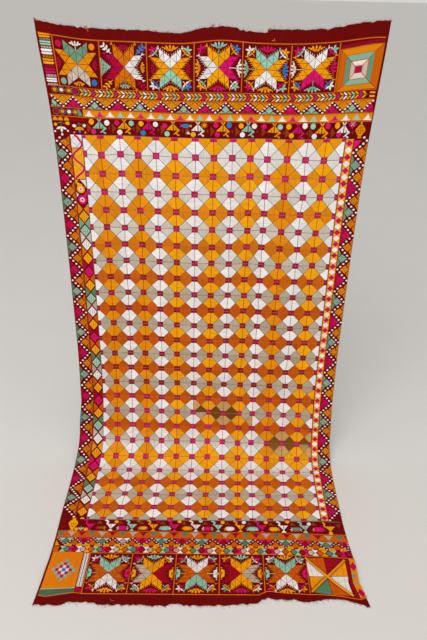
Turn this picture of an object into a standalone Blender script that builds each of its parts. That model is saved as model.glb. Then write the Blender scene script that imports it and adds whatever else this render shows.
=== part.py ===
"""A phulkari: three lengths of handspun cotton sewn edge to edge, hung by the top edge.

The cloth hangs nearly straight, curves forward at its foot and lies out over the floor.
Metres, +Z up, with the embroidered face towards -Y. The origin is the middle of the top edge.
A place on the flat cloth is (across, down): across from the middle, positive to the viewer's
right, and down from the top edge.
"""

import bmesh
import bpy
import numpy as np

# Driving sizes of the flat cloth
CLOTH_WIDTH = 1.200
CLOTH_LENGTH = 2.650
CLOTH_THICKNESS = 0.0016
SEAM_GAP = 0.0003

# The three loom widths: name, left side, right side, both across the cloth
PANELS = (
    ("panel_left", -CLOTH_WIDTH / 2, -0.195),
    ("panel_middle", -0.195, 0.190),
    ("panel_right", 0.190, CLOTH_WIDTH / 2),
)

# Lean of the cloth from straight down, towards -Y: down, degrees
LEAN = (
    (0.45, -2.0),
    (0.95, 1.0),
    (1.30, 4.5),
    (1.50, 7.5),
    (1.63, 12.5),
    (1.75, 13.5),
    (1.85, 53.5),
    (1.95, 90.0),
)
BEND_START = 1.62
BEND_END = 2.00
LEAN_STEP = 0.001

# The foot lies a little askew: a turn of the run on the floor about its middle
FLOOR_SKEW = 0.030
FLOOR_SKEW_AT = 1.895
FLOOR_SKEW_SOFTNESS = 0.06

# Where the top edge is held and drawn up: across, lift, pull sideways, reach across, reach down
PULLS = (
    (-0.600, 0.018, -0.016, 0.11, 0.20),
    (0.030, 0.014, 0.000, 0.09, 0.15),
    (0.600, 0.040, 0.012, 0.15, 0.30),
)

# The slack between those three places falls forward: middle across, reach across, depth
SWAGS = (
    (-0.290, 0.170, 0.009),
    (0.300, 0.160, 0.011),
)
SWAG_REACH = 0.22

# How far each side stands out from its straight line: down, left side, right side
SIDES = (
    (0.00, 0.006, 0.000),
    (0.45, -0.003, -0.007),
    (1.10, -0.005, -0.006),
    (1.60, -0.012, -0.011),
    (1.72, 0.001, -0.006),
    (1.90, 0.009, -0.003),
    (2.25, -0.001, 0.000),
    (2.45, -0.006, 0.012),
    (2.65, 0.006, 0.034),
)
SIDE_BAND = 0.18
SIDE_CURL_AT = 1.60
SIDE_CURL_REACH = 0.16
SIDE_CURL = 0.014

# Soft upright folds of the hanging part: width of one fold, depth, place of a crest
FOLDS = (
    (0.430, 0.0045, -0.070),
    (0.250, 0.0020, 0.040),
)
FOLDS_END = 1.55
FOLDS_FADE = 0.35

# Soft waves of the floor run near its sides: depth, length of one wave, width of the waved strip
FLOOR_WAVE = 0.0035
FLOOR_WAVE_LENGTH = 0.31
FLOOR_WAVE_BAND = 0.20
FLOOR_WAVE_START = 2.02

# Uneven raw ends, one torn or cut edge for each length: across, offset down
TOP_ENDS = {
    "panel_left": ((-0.600, -0.001), (-0.535, 0.003), (-0.360, 0.002), (-0.195, 0.006)),
    "panel_middle": ((-0.195, 0.009), (-0.100, 0.011), (-0.045, 0.002), (0.030, 0.000), (0.190, 0.004)),
    "panel_right": ((0.190, -0.006), (0.300, -0.010), (0.505, -0.009), (0.600, -0.002)),
}
FOOT_ENDS = {
    "panel_left": (
        (-0.600, 0.004),
        (-0.505, 0.003),
        (-0.470, -0.010),
        (-0.395, -0.010),
        (-0.365, 0.001),
        (-0.195, 0.001),
    ),
    "panel_middle": (
        (-0.195, 0.002),
        (-0.120, 0.005),
        (-0.095, -0.007),
        (-0.040, 0.004),
        (0.100, 0.003),
        (0.190, -0.009),
    ),
    "panel_right": (
        (0.190, -0.018),
        (0.270, -0.033),
        (0.380, -0.017),
        (0.530, -0.031),
        (0.590, -0.001),
        (0.600, 0.002),
    ),
}
END_REACH = 0.15

# Spacing of the modelled rows and columns
COLUMNS = 10
HANG_ROW = 0.062
BEND_ROW = 0.0145
FLOOR_ROW = 0.065

MAROON = (0.115, 0.010, 0.012, 1.0)
COTTON_ROUGHNESS = 0.85


def lean_curve():
    """Down, y and z along the middle of the cloth, integrated from the lean."""
    down_at, degrees = np.array(LEAN).T
    down = np.arange(-0.1, CLOTH_LENGTH + 0.1, LEAN_STEP)
    lean = np.radians(np.interp(down, down_at, degrees))
    step_y = -np.sin(lean) * LEAN_STEP
    step_z = -np.cos(lean) * LEAN_STEP
    y = np.cumsum(step_y) - step_y / 2
    z = np.cumsum(step_z) - step_z / 2
    return down, y - np.interp(0.0, down, y), z - np.interp(0.0, down, z)


LEAN_CURVE = lean_curve()


def smooth_step(value):
    value = np.clip(value, 0.0, 1.0)
    return value * value * (3 - 2 * value)


def bump(distance, reach):
    return np.exp(-((distance / reach) ** 2))


def hang(across, down):
    """The place in space of the middle of the cloth's thickness at (across, down)."""
    curve_down, curve_y, curve_z = LEAN_CURVE
    side = np.sign(across)
    near_side = smooth_step((abs(across) - CLOTH_WIDTH / 2 + SIDE_BAND) / SIDE_BAND)
    laid = 1 / (1 + np.exp(-(down - FLOOR_SKEW_AT) / FLOOR_SKEW_SOFTNESS))
    side_down, left_out, right_out = np.array(SIDES).T
    stand_out = np.interp(down, side_down, right_out if side > 0 else left_out)
    x = across + side * stand_out * near_side
    y = np.interp(down, curve_down, curve_y) + FLOOR_SKEW * laid * across
    z = np.interp(down, curve_down, curve_z)
    for at, lift, sideways, reach_across, reach_down in PULLS:
        pull = bump(across - at, reach_across) * bump(down, reach_down)
        x += sideways * pull
        z += lift * pull
    for at, reach_across, depth in SWAGS:
        y -= depth * bump(across - at, reach_across) * bump(down, SWAG_REACH)
    y -= SIDE_CURL * near_side * bump(down - SIDE_CURL_AT, SIDE_CURL_REACH)
    hanging = smooth_step((FOLDS_END - down) / FOLDS_FADE)
    for width, depth, crest in FOLDS:
        y -= depth * hanging * np.cos(2 * np.pi * (across - crest) / width)
    waved = smooth_step((abs(across) - CLOTH_WIDTH / 2 + FLOOR_WAVE_BAND) / FLOOR_WAVE_BAND)
    waved *= smooth_step((down - FLOOR_WAVE_START) / FLOOR_WAVE_LENGTH)
    z += FLOOR_WAVE * waved * (1 - np.cos(2 * np.pi * (down - FLOOR_WAVE_START) / FLOOR_WAVE_LENGTH))
    return x, y, z


def row_places():
    """Where the modelled rows lie down the cloth: close together round the bend."""
    stretches = (
        (0.0, BEND_START, HANG_ROW),
        (BEND_START, BEND_END, BEND_ROW),
        (BEND_END, CLOTH_LENGTH, FLOOR_ROW),
    )
    rows = [0.0]
    for start, end, spacing in stretches:
        count = round((end - start) / spacing)
        rows.extend(start + (end - start) * (k + 1) / count for k in range(count))
    return rows


def uneven_ends(name, across, row):
    """The row's place with the panel's raw ends drawn into it."""
    top_across, top_offset = np.array(TOP_ENDS[name]).T
    foot_across, foot_offset = np.array(FOOT_ENDS[name]).T
    near_top = max(0.0, 1 - row / END_REACH)
    near_foot = max(0.0, 1 - (CLOTH_LENGTH - row) / END_REACH)
    down = row + near_top * np.interp(across, top_across, top_offset)
    return down + near_foot * np.interp(across, foot_across, foot_offset)


def cotton(name):
    """Dark maroon handspun cotton."""
    material = bpy.data.materials.new(name)
    material.use_nodes = True
    shader = material.node_tree.nodes["Principled BSDF"]
    shader.inputs["Base Color"].default_value = MAROON
    shader.inputs["Roughness"].default_value = COTTON_ROUGHNESS
    shader.inputs["Metallic"].default_value = 0.0
    return material


def make_panel(name, left, right):
    """One loom width: a grid drawn onto the hanging shape and given its thickness."""
    rows = row_places()
    left += SEAM_GAP / 2
    right -= SEAM_GAP / 2
    shape = bmesh.new()
    bmesh.ops.create_grid(shape, x_segments=COLUMNS, y_segments=len(rows) - 1, size=0.5)
    for vertex in shape.verts:
        across = left + (right - left) * (vertex.co.x + 0.5)
        row = rows[round((0.5 - vertex.co.y) * (len(rows) - 1))]
        vertex.co = hang(across, uneven_ends(name, across, row))
    mesh = bpy.data.meshes.new(name)
    shape.to_mesh(mesh)
    shape.free()
    mesh.shade_smooth()
    mesh.materials.append(cotton(name))
    panel = bpy.data.objects.new(name, mesh)
    bpy.context.scene.collection.objects.link(panel)
    thickness = panel.modifiers.new("thickness", "SOLIDIFY")
    thickness.thickness = CLOTH_THICKNESS
    thickness.offset = 0.0
    return panel


def main():
    for thing in list(bpy.data.objects):
        bpy.data.objects.remove(thing)
    for name, left, right in PANELS:
        make_panel(name, left, right)


main()
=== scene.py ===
"""The looks of a phulkari: maroon handspun cotton almost covered in silk floss.

Places on the cloth are (across, down): across from its middle, positive to the viewer's right,
and down from the top edge. The charts below give them in millimetres. Everything is first made
flat, in metres, as (across, -down, height), and then laid onto the shape in which the cloth hangs.
"""
import math

import bpy
import numpy as np
from bpy.props import FloatProperty, FloatVectorProperty, PointerProperty
from bpy.types import Operator, Panel, PropertyGroup
from mathutils import Matrix, Vector


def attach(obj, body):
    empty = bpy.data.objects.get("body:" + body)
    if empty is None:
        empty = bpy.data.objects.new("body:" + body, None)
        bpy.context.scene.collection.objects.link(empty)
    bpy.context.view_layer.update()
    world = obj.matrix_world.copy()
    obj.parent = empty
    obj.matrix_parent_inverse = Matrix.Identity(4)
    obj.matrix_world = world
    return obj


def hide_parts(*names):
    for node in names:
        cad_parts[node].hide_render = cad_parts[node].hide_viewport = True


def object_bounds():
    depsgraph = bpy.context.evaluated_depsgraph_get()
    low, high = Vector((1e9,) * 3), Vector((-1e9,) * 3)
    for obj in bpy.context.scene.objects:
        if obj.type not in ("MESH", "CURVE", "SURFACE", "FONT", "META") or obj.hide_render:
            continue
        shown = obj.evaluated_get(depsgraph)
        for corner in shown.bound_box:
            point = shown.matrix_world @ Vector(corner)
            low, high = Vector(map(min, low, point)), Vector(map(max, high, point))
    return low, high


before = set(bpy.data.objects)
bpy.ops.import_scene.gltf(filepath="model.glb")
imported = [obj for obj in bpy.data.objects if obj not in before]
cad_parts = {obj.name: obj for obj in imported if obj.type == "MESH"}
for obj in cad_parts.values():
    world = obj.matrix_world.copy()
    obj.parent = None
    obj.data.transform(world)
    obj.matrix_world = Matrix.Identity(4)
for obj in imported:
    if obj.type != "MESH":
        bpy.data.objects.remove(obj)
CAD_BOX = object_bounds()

bl_info = {
    "name": "Phulkari",
    "version": (1, 0, 0),
    "blender": (4, 5, 0),
    "location": "3D View > Sidebar > Phulkari",
    "description": "Hung cotton cloth covered in charted silk floss embroidery",
    "category": "Object",
}

MM = 0.001
ACROSS = 0.0
DOWN = math.pi / 2

# Flat cloth and the three lengths it is sewn from: CAD node, left side, right side
CLOTH_WIDTH = 1.200
CLOTH_LENGTH = 2.650
LENGTHS = (
    ("panel_left", -0.600, -0.195), ("panel_middle", -0.195, 0.190), ("panel_right", 0.190, 0.600),
)

# Lean of the cloth from straight down, towards -Y: down, degrees
LEAN = (
    (0.45, -2.0), (0.95, 1.0), (1.30, 4.5), (1.50, 7.5), (1.63, 12.5), (1.75, 13.5), (1.85, 53.5),
    (1.95, 90.0),
)
LEAN_STEP = 0.001

# The foot lies a little askew
FLOOR_SKEW = 0.030
FLOOR_SKEW_AT = 1.895
FLOOR_SKEW_SOFTNESS = 0.06

# Where the top edge is drawn up: across, lift, pull sideways, reach across, reach down
PULLS = (
    (-0.600, 0.018, -0.016, 0.11, 0.20), (0.030, 0.014, 0.000, 0.09, 0.15),
    (0.600, 0.040, 0.012, 0.15, 0.30),
)

# Slack that falls forward between those places: middle across, reach across, depth
SWAGS = ((-0.290, 0.170, 0.009), (0.300, 0.160, 0.011))
SWAG_REACH = 0.22

# How far each side stands out from its straight line: down, left side, right side
SIDES = (
    (0.00, 0.006, 0.000), (0.45, -0.003, -0.007), (1.10, -0.005, -0.006), (1.60, -0.012, -0.011),
    (1.72, 0.001, -0.006), (1.90, 0.009, -0.003), (2.25, -0.001, 0.000), (2.45, -0.006, 0.016),
    (2.55, -0.001, 0.015), (2.62, 0.004, 0.037), (2.65, 0.006, 0.044),
)
SIDE_BAND = 0.18
SIDE_CURL_AT = 1.60
SIDE_CURL_REACH = 0.16
SIDE_CURL = 0.014

# Soft upright folds: width of one fold, depth, place of a crest
FOLDS = ((0.430, 0.0045, -0.070), (0.250, 0.0020, 0.040))
FOLDS_END = 1.55
FOLDS_FADE = 0.35

# Soft waves of the floor run near its sides
FLOOR_WAVE = 0.0035
FLOOR_WAVE_LENGTH = 0.31
FLOOR_WAVE_BAND = 0.20
FLOOR_WAVE_START = 2.02

# Uneven raw ends of each length: across, offset down
TOP_ENDS = {
    "panel_left": ((-0.600, -0.001), (-0.535, 0.003), (-0.360, 0.002), (-0.195, 0.006)),
    "panel_middle": (
        (-0.195, 0.009), (-0.100, 0.011), (-0.045, 0.002), (0.030, 0.0), (0.190, 0.004),
    ),
    "panel_right": ((0.190, -0.006), (0.300, -0.010), (0.505, -0.009), (0.600, -0.002)),
}
FOOT_ENDS = {
    "panel_left": (
        (-0.600, 0.004), (-0.505, 0.003), (-0.470, -0.010), (-0.395, -0.010), (-0.365, 0.001),
        (-0.195, 0.001),
    ),
    "panel_middle": (
        (-0.195, 0.002), (-0.120, 0.005), (-0.095, -0.007), (-0.040, 0.002), (0.060, 0.001),
        (0.190, -0.006),
    ),
    "panel_right": (
        (0.190, -0.007), (0.222, -0.012), (0.244, -0.024), (0.272, -0.034), (0.302, -0.025),
        (0.365, -0.028), (0.388, -0.018), (0.425, -0.018), (0.485, -0.032), (0.530, -0.031),
        (0.590, -0.001), (0.600, 0.002),
    ),
}
END_REACH = 0.15

# Painted shade: silk loses the light's sheen where its stitches run down, least at the top and on the bend
# How much painted shade floss gets where its stitches run down the cloth: down, share of the change
SHEEN_TURN = (
    (0.00, 0.08), (0.44, 0.25), (0.60, 0.42), (0.75, 0.62), (0.92, 0.85), (1.10, 1.00),
    (1.72, 1.00), (1.80, 0.70), (1.86, 0.05), (1.90, 0.10), (1.95, 0.50), (2.00, 0.95),
    (2.65, 1.00),
)

# Between these the cloth bends sharply, so faces of floss and of cotton are shorter there
BEND_FROM = 1.70
BEND_TO = 2.00
BEND_FACE = 0.012
BEND_SHARE = 0.7

# Longest face of a patch and of a laid thread elsewhere
PATCH_FACE = 0.034
THREAD_FACE = 0.022

# Cotton and floss heights from the middle of the cloth's thickness, and one step of a chart's lifts
COTTON_BACK = -0.00078
COTTON_FRONT = 0.00012
FLOSS_FOOT = 0.00002
LIFT = 0.0001

# Narrowest patch that is worked, how far stitch ends stray, and how much lower every other ridge is
LEAST_PATCH = 0.0004
STRAY = 0.00022
GROOVE = 0.34

# How much rows of stitches differ in shade and in height
ROW_SHADE = 0.045
ROW_HEIGHT = 0.12

# Edges and shoulders of a laid thread, as shares of its width, and how much higher a short stitch stands
THREAD_SECTION = (-0.5, -0.34, 0.34, 0.5)
STITCH_SHARE = 1.25

# What the letters in the charts stand for
LETTERS = {
    "G": "gold", "W": "white", "P": "magenta", "M": "mint", "B": "blue", "R": "rust",
    "O": "old_gold", "N": "brown", "S": "sage",
}


def lean_curve():
    """Down, y and z along the middle of the cloth, integrated from the lean."""
    down_at, degrees = np.array(LEAN).T
    down = np.arange(-0.1, CLOTH_LENGTH + 0.1, LEAN_STEP)
    lean = np.radians(np.interp(down, down_at, degrees))
    step_y = -np.sin(lean) * LEAN_STEP
    step_z = -np.cos(lean) * LEAN_STEP
    y = np.cumsum(step_y) - step_y / 2
    z = np.cumsum(step_z) - step_z / 2
    return down, y - np.interp(0.0, down, y), z - np.interp(0.0, down, z)


LEAN_CURVE = lean_curve()


def smooth_step(value):
    value = np.clip(value, 0.0, 1.0)
    return value * value * (3 - 2 * value)


def bump(distance, reach):
    return np.exp(-((distance / reach) ** 2))


def hang(across, down):
    """The place in space of the middle of the cloth's thickness at (across, down)."""
    curve_down, curve_y, curve_z = LEAN_CURVE
    side = np.sign(across)
    near_side = smooth_step((abs(across) - CLOTH_WIDTH / 2 + SIDE_BAND) / SIDE_BAND)
    laid = 1 / (1 + np.exp(-(down - FLOOR_SKEW_AT) / FLOOR_SKEW_SOFTNESS))
    side_down, *outs = np.array(SIDES).T
    left_out, right_out = (np.interp(down, side_down, out) for out in outs)
    stand_out = np.where(side > 0, right_out, left_out)
    x = across + side * stand_out * near_side
    y = np.interp(down, curve_down, curve_y) + FLOOR_SKEW * laid * across
    z = np.interp(down, curve_down, curve_z)
    for at, lift, sideways, reach_across, reach_down in PULLS:
        pull = bump(across - at, reach_across) * bump(down, reach_down)
        x += sideways * pull
        z += lift * pull
    for at, reach_across, depth in SWAGS:
        y -= depth * bump(across - at, reach_across) * bump(down, SWAG_REACH)
    y -= SIDE_CURL * near_side * bump(down - SIDE_CURL_AT, SIDE_CURL_REACH)
    hanging = smooth_step((FOLDS_END - down) / FOLDS_FADE)
    for width, depth, crest in FOLDS:
        y -= depth * hanging * np.cos(2 * np.pi * (across - crest) / width)
    waved = smooth_step((abs(across) - CLOTH_WIDTH / 2 + FLOOR_WAVE_BAND) / FLOOR_WAVE_BAND)
    waved *= smooth_step((down - FLOOR_WAVE_START) / FLOOR_WAVE_LENGTH)
    z += FLOOR_WAVE * waved * (1 - np.cos(2 * np.pi * (down - FLOOR_WAVE_START) / FLOOR_WAVE_LENGTH))
    return np.stack([x, y, z], -1)


def laid_on_cloth(flat):
    """Flat points (across, -down, height) moved to where the hung cloth carries them."""
    across, down, height = flat[:, 0], -flat[:, 1], flat[:, 2]
    reach = 0.0015
    run_across = hang(across + reach, down) - hang(across - reach, down)
    run_down = hang(across, down + reach) - hang(across, down - reach)
    out = np.cross(run_down, run_across)
    out /= np.linalg.norm(out, axis=1, keepdims=True)
    return hang(across, down) + out * height[:, None]


def between(table, at):
    """The value at a place, from a table of places and values."""
    return np.interp(at, *np.array(table, float).T)


def vectors(*places):
    return [np.array(place, float) for place in places]


def middles_of(points):
    return [(a + b) / 2 for a, b in zip(points[:-1], points[1:])]


def linear(*levels):
    """A screen colour, 0 to 255, as the linear colour that shaders use."""
    shares = (level / 255 for level in levels)
    return tuple(c / 12.92 if c <= 0.04045 else ((c + 0.055) / 1.055) ** 2.4 for c in shares)


def number_prop(name, description, default, **limits):
    return FloatProperty(name=name, description=description, default=default, **limits)


def length_prop(name, description, default, low=0.0, high=5.0):
    return number_prop(name, description, default, min=low, max=high, unit="LENGTH", precision=5)


def colour_prop(name, description, *levels):
    limits = {"subtype": "COLOR", "size": 3, "min": 0.0, "max": 1.0}
    return FloatVectorProperty(name=name, description=description, default=linear(*levels), **limits)


class PhulkariCotton(PropertyGroup):
    """Sizes and colours of the cotton ground."""

    face: length_prop("Face length", "Longest side of a face of the cotton", 0.0105, 0.004, 0.05)
    ravel: length_prop("Ravelled edge", "How unevenly a raw end is torn", 0.0024, 0.0, 0.01)
    thread_spacing: length_prop("Fray spacing", "Space between the loose threads of a raw end", 0.0015)
    thread_length: length_prop("Fray length", "Usual length of a loose thread", 0.0055)
    maroon: colour_prop("Maroon", "Colour of the handspun cotton", 106, 8, 9)
    faded: colour_prop("Faded maroon", "The cotton where it has faded and worn", 122, 16, 13)


class PhulkariFloss(PropertyGroup):
    """Sizes and colours of the silk floss. A colour named down is its floss with painted shade, where its
    stitches run down.
    """

    height: length_prop("Floss height", "How far floss stands above the cotton", 0.00062)
    ridge: length_prop("Ridge step", "Half the width of one laid ridge of floss", 0.0015, 0.0005)
    slope: length_prop("Edge slope", "Width of the rounded edge of a patch", 0.0007)
    gap: length_prop("Gap", "Bare cotton left between two patches", 0.0015)
    dot: length_prop("Dot", "Half the width of a white zigzag dot", 0.0050)
    gold: colour_prop("Gold", "Gold floss, stitches running across", 252, 170, 8)
    # Each colour named down is painted shade: the floss as it looks where its stitches run down and lose the
    # sheen
    gold_down: colour_prop("Gold, down", "Gold floss, stitches running down", 204, 88, 2)
    old_gold: colour_prop("Old gold", "A redder dyeing of the gold", 238, 148, 4)
    white: colour_prop("White", "White floss, stitches running across", 244, 241, 239)
    # Painted shade of the white floss
    white_down: colour_prop("White, down", "White floss, stitches running down", 190, 172, 148)
    magenta: colour_prop("Magenta", "Magenta floss, stitches running across", 226, 18, 112)
    # Painted shade of the magenta floss
    magenta_down: colour_prop("Magenta, down", "Magenta floss, stitches running down", 160, 0, 28)
    mint: colour_prop("Mint", "Mint floss, stitches running across", 156, 210, 186)
    # Painted shade of the mint floss
    mint_down: colour_prop("Mint, down", "Mint floss, stitches running down", 84, 128, 96)
    blue: colour_prop("Blue", "Blue floss", 22, 136, 214)
    sage: colour_prop("Sage", "Grey green floss of the pattern's lines", 128, 134, 112)
    cord: colour_prop("Cord orange", "Orange floss of the dividing lines", 226, 112, 12)
    rust: colour_prop("Rust", "Dull rust floss of small fillings", 148, 52, 14)
    brown: colour_prop("Brown", "Brown floss of the mended places", 152, 96, 24)
    wine: colour_prop("Wine", "Dark lines between rows of stitches", 92, 6, 14)
    straw: colour_prop("Straw", "Straw floss of the mended places", 208, 164, 98)


class PhulkariStage(PropertyGroup):
    """The floor, the lights and the camera."""

    floor: colour_prop("Floor", "Colour of the pale floor", 226, 224, 220)
    key_power: number_prop("Key light", "Power of the large soft light", 104.0, unit="POWER")
    sky: number_prop("Room light", "Strength of the even light all round", 0.66, min=0.0)
    camera_across: length_prop("Camera across", "Camera place, to the viewer's right", 0.05532, -5.0)
    camera_back: length_prop("Camera back", "Camera place, in front of the top edge", 2.35791)
    camera_up: length_prop("Camera up", "Camera place, above the top edge", 0.19994, -5.0)
    look_down: number_prop("Look down", "Camera tilt below level", 0.524, unit="ROTATION")
    lens: number_prop("Lens", "Focal length on a 36 mm long side", 34.71, unit="CAMERA")


def settings():
    scene = bpy.context.scene
    return scene.phulkari_cotton, scene.phulkari_floss, scene.phulkari_stage


def box(left, top, right, bottom):
    return [(left, top), (right, top), (right, bottom), (left, bottom)]


def diamond(x, y, half_wide, half_high):
    return [(x, y - half_high), (x + half_wide, y), (x, y + half_high), (x - half_wide, y)]


def disc(x, y, wide, high, corners=10):
    turns = [2 * math.pi * (k + 0.5) / corners for k in range(corners)]
    return [(x + wide * math.cos(t), y + high * math.sin(t)) for t in turns]


def placed(points, x, y, turn=0.0):
    """Points turned clockwise by turn degrees and then moved to (x, y)."""
    c, s = math.cos(math.radians(turn)), math.sin(math.radians(turn))
    return [(x + px * c - py * s, y + px * s + py * c) for px, py in points]


def inset(outline, by):
    """A convex outline with every side moved inwards by the same distance."""
    following = np.roll(outline, -1, axis=0)
    side = following - outline
    side /= np.linalg.norm(side, axis=1, keepdims=True)
    area = np.sum(outline[:, 0] * following[:, 1] - following[:, 0] * outline[:, 1])
    inward = np.stack([-side[:, 1], side[:, 0]], -1) * np.sign(area)
    before = np.roll(inward, 1, axis=0)
    corner = (inward + before) / (1 + np.sum(inward * before, axis=1, keepdims=True))
    return outline + by * corner


def quads(a, b, c, d):
    """Four-cornered faces from the point numbers of their corners."""
    return np.stack([a, b, c, d], -1).reshape(-1, 4)


def grid_faces(index):
    """The faces of a grid of point numbers, row by row."""
    return quads(index[:-1, :-1], index[1:, :-1], index[1:, 1:], index[:-1, 1:])


def face_length(down, usual):
    """Longest side of a face at these places down the cloth."""
    return BEND_FACE if max(down) > BEND_FROM and min(down) < BEND_TO else usual


# A tooth with a narrower base than this, in millimetres, has finer lines in it
SMALL_TOOTH = 72

# Widths of the bars of a stepped triangle, as shares of its base
STEP_SHARES = (1.0, 0.62, 0.38, 0.17)

# A petal: places across and down, as shares of its width and length
PETAL = ((-0.14, 0), (0.14, 0), (0.5, -0.5), (0.22, -0.84), (0, -1), (-0.22, -0.84), (-0.5, -0.5))


class Chart:
    """Floss worked flat. Charted places are in millimetres, and what is kept is in metres.

    A floss is a name, or a name and the share of its painted shade. A lift counts steps of LIFT.
    """

    def __init__(self, seed, sag=((0, 0),), sag_rows=((0, 0),)):
        self.size = settings()[1]
        self.sag = np.array(sag, float) * MM
        self.sag_rows = sag_rows
        self.chance = np.random.default_rng(seed)
        self.parts = []
        self.stitches = []
        self.count = 0

    def shade(self, floss, lay, down):
        """Floss colour with painted shade, by the way its stitches run and how far down the cloth they are.
        """
        name, share = floss if isinstance(floss, tuple) else (floss, None)
        across = np.array(getattr(self.size, name))
        # Painted shade: a floss without its own down colour is painted at 0.55 of its colour
        painted_shade = np.array(getattr(self.size, name + "_down", tuple(across * 0.55)))
        if share is None:
            share = between(SHEEN_TURN, down) * math.sin(lay) ** 2
        share = (share + np.zeros_like(down))[..., None]
        return across * (1 - share) + painted_shade * share

    def drift(self, across, down):
        """How far the counted rows have drifted down at a place, in metres."""
        return between(self.sag, across) * between(self.sag_rows, down)

    def keep(self, flat, height, floss, lay, spread):
        """A grid of points, row by row, closed into faces that look out from the cloth."""
        rows = np.concatenate([flat, height[..., None]], axis=-1)
        high, wide = height.shape
        rows[..., 1] += self.drift(rows[..., 0], rows[..., 1])
        index = self.count + np.arange(high * wide).reshape(high, wide)
        faces = grid_faces(index)
        colour = self.shade(floss, lay, (rows[:-1, :-1, 1] + rows[1:, 1:, 1]) / 2)
        colour = colour * (1 + spread * self.chance.standard_normal())
        ridge = np.repeat(self.chance.standard_normal((high + 1) // 2), 2)[: high - 1]
        colour = np.clip(colour * (1 + ROW_SHADE * ridge)[:, None, None], 0, 1).reshape(-1, 3)
        points = (rows * (1, -1, 1)).reshape(-1, 3)
        self.parts.append((points, faces, colour, np.full(len(faces), lay)))
        self.count += high * wide

    def patch(self, outline, floss, lay=ACROSS, lift=0, spread=0.05, gap=1.0):
        """A convex patch of floss: rungs laid side by side from one edge to the other."""
        size = self.size
        shape = inset(np.array(outline, float) * MM, gap * size.gap / 2)
        run = np.array((math.cos(lay), math.sin(lay)))
        side = np.array((-run[1], run[0]))
        along, over = shape @ run, shape @ side
        low, high = over.min(), over.max()
        if high - low < LEAST_PATCH:
            return
        slope = min(size.slope, (high - low) / 4)
        steps = max(1, round((high - low - 2 * slope) / size.ridge))
        rungs = np.concatenate(([low], np.linspace(low + slope, high - slope, steps + 1), [high]))
        probe = np.clip(rungs, low + 1e-6, high - 1e-6)[:, None]
        next_along, next_over = np.roll(along, -1), np.roll(over, -1)
        share = (probe - over) / np.where(next_over == over, 1e-12, next_over - over)
        met = along + share * (next_along - along)
        inside = (share >= 0) & (share <= 1)
        uneven = STRAY * self.chance.uniform(-1, 1, (2, len(rungs)))
        start = np.where(inside, met, np.inf).min(axis=1) + uneven[0]
        end = np.maximum(np.where(inside, met, -np.inf).max(axis=1) + uneven[1], start + LEAST_PATCH)
        face = face_length(shape[:, 1], PATCH_FACE) if abs(math.sin(lay)) > 0.3 else PATCH_FACE
        parts = max(1, math.ceil((end - start).max() / face))
        round_off = np.minimum(size.slope, (end - start) * 0.3)
        inner = np.linspace(0, 1, parts + 1)
        middle = (start + round_off)[:, None] + inner * (end - start - 2 * round_off)[:, None]
        places = np.concatenate([start[:, None], middle, end[:, None]], axis=1)
        flat = places[..., None] * run + rungs[:, None, None] * side
        crest = size.height * (1 - GROOVE * (np.arange(len(rungs)) % 2))
        crest = crest * (1 + ROW_HEIGHT * self.chance.uniform(-1, 1, len(rungs)))
        height = np.full(places.shape, FLOSS_FOOT)
        height[1:-1, 1:-1] = (COTTON_FRONT + lift * LIFT + crest[1:-1])[:, None]
        self.keep(flat, height, floss, lay, spread)

    def line(self, path, floss="sage", wide=1.5, lift=0):
        """A laid thread of floss along a path."""
        path = np.array(path, float) * MM
        wide = wide * MM
        stations = [path[0]]
        for start, end in zip(path[:-1], path[1:]):
            face = face_length((start[1], end[1]), THREAD_FACE)
            parts = max(1, math.ceil(np.linalg.norm(end - start) / face))
            stations.extend(start + (end - start) * (k + 1) / parts for k in range(parts))
        for near, beyond in ((0, 1), (-1, -2)):
            leg = stations[beyond] - stations[near]
            nib = stations[near] + leg * min(0.3, 0.4 * wide / np.linalg.norm(leg))
            stations.insert(1 if near == 0 else len(stations) - 1, nib)
        stations = np.array(stations)
        run = np.gradient(stations, axis=0)
        run /= np.linalg.norm(run, axis=1, keepdims=True)
        side = np.stack([run[:, 1], -run[:, 0]], -1)
        offsets = np.array(THREAD_SECTION) * wide
        flat = stations[:, None, :] + side[:, None, :] * offsets[None, :, None]
        height = np.full(flat.shape[:2], FLOSS_FOOT)
        height[1:-1, 1:3] = COTTON_FRONT + lift * LIFT + min(self.size.height, 0.45 * wide)
        lay = math.atan2(abs(path[-1][1] - path[0][1]), abs(path[-1][0] - path[0][0]))
        self.keep(flat, height, floss, lay, 0.08)

    def stitch(self, x, y, half_long, half_wide, turn, floss, lift=0):
        """A single short stitch or dot, made by Geometry Nodes afterwards; turn in radians."""
        colour = self.shade(floss, turn, y * MM) * (1 + 0.05 * self.chance.standard_normal())
        y = y + self.drift(x * MM, y * MM) / MM
        self.stitches.append((x, y, half_long, half_wide, turn, lift * LIFT, *np.clip(colour, 0, 1)))

    def fill_steps(self, x, base, rise, half, floss):
        """A stepped triangle built of shrinking bars; rise is the signed height of one bar."""
        for k, share in enumerate(STEP_SHARES):
            top, foot = sorted((base, base + rise * (k + 1)))
            bar = box(x - half * share, top, x + half * share, foot)
            self.patch(bar, floss, ACROSS, 4 + 0.4 * k, 0.0)

    def ring(self, points, share, floss, wide, lift=2.5):
        """A closed line that repeats an outline at a smaller or larger size."""
        points = np.array(points, float)
        core = points.mean(axis=0)
        points = core + (points - core) * share
        self.line([*points, points[0]], floss, wide, lift)

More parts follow.
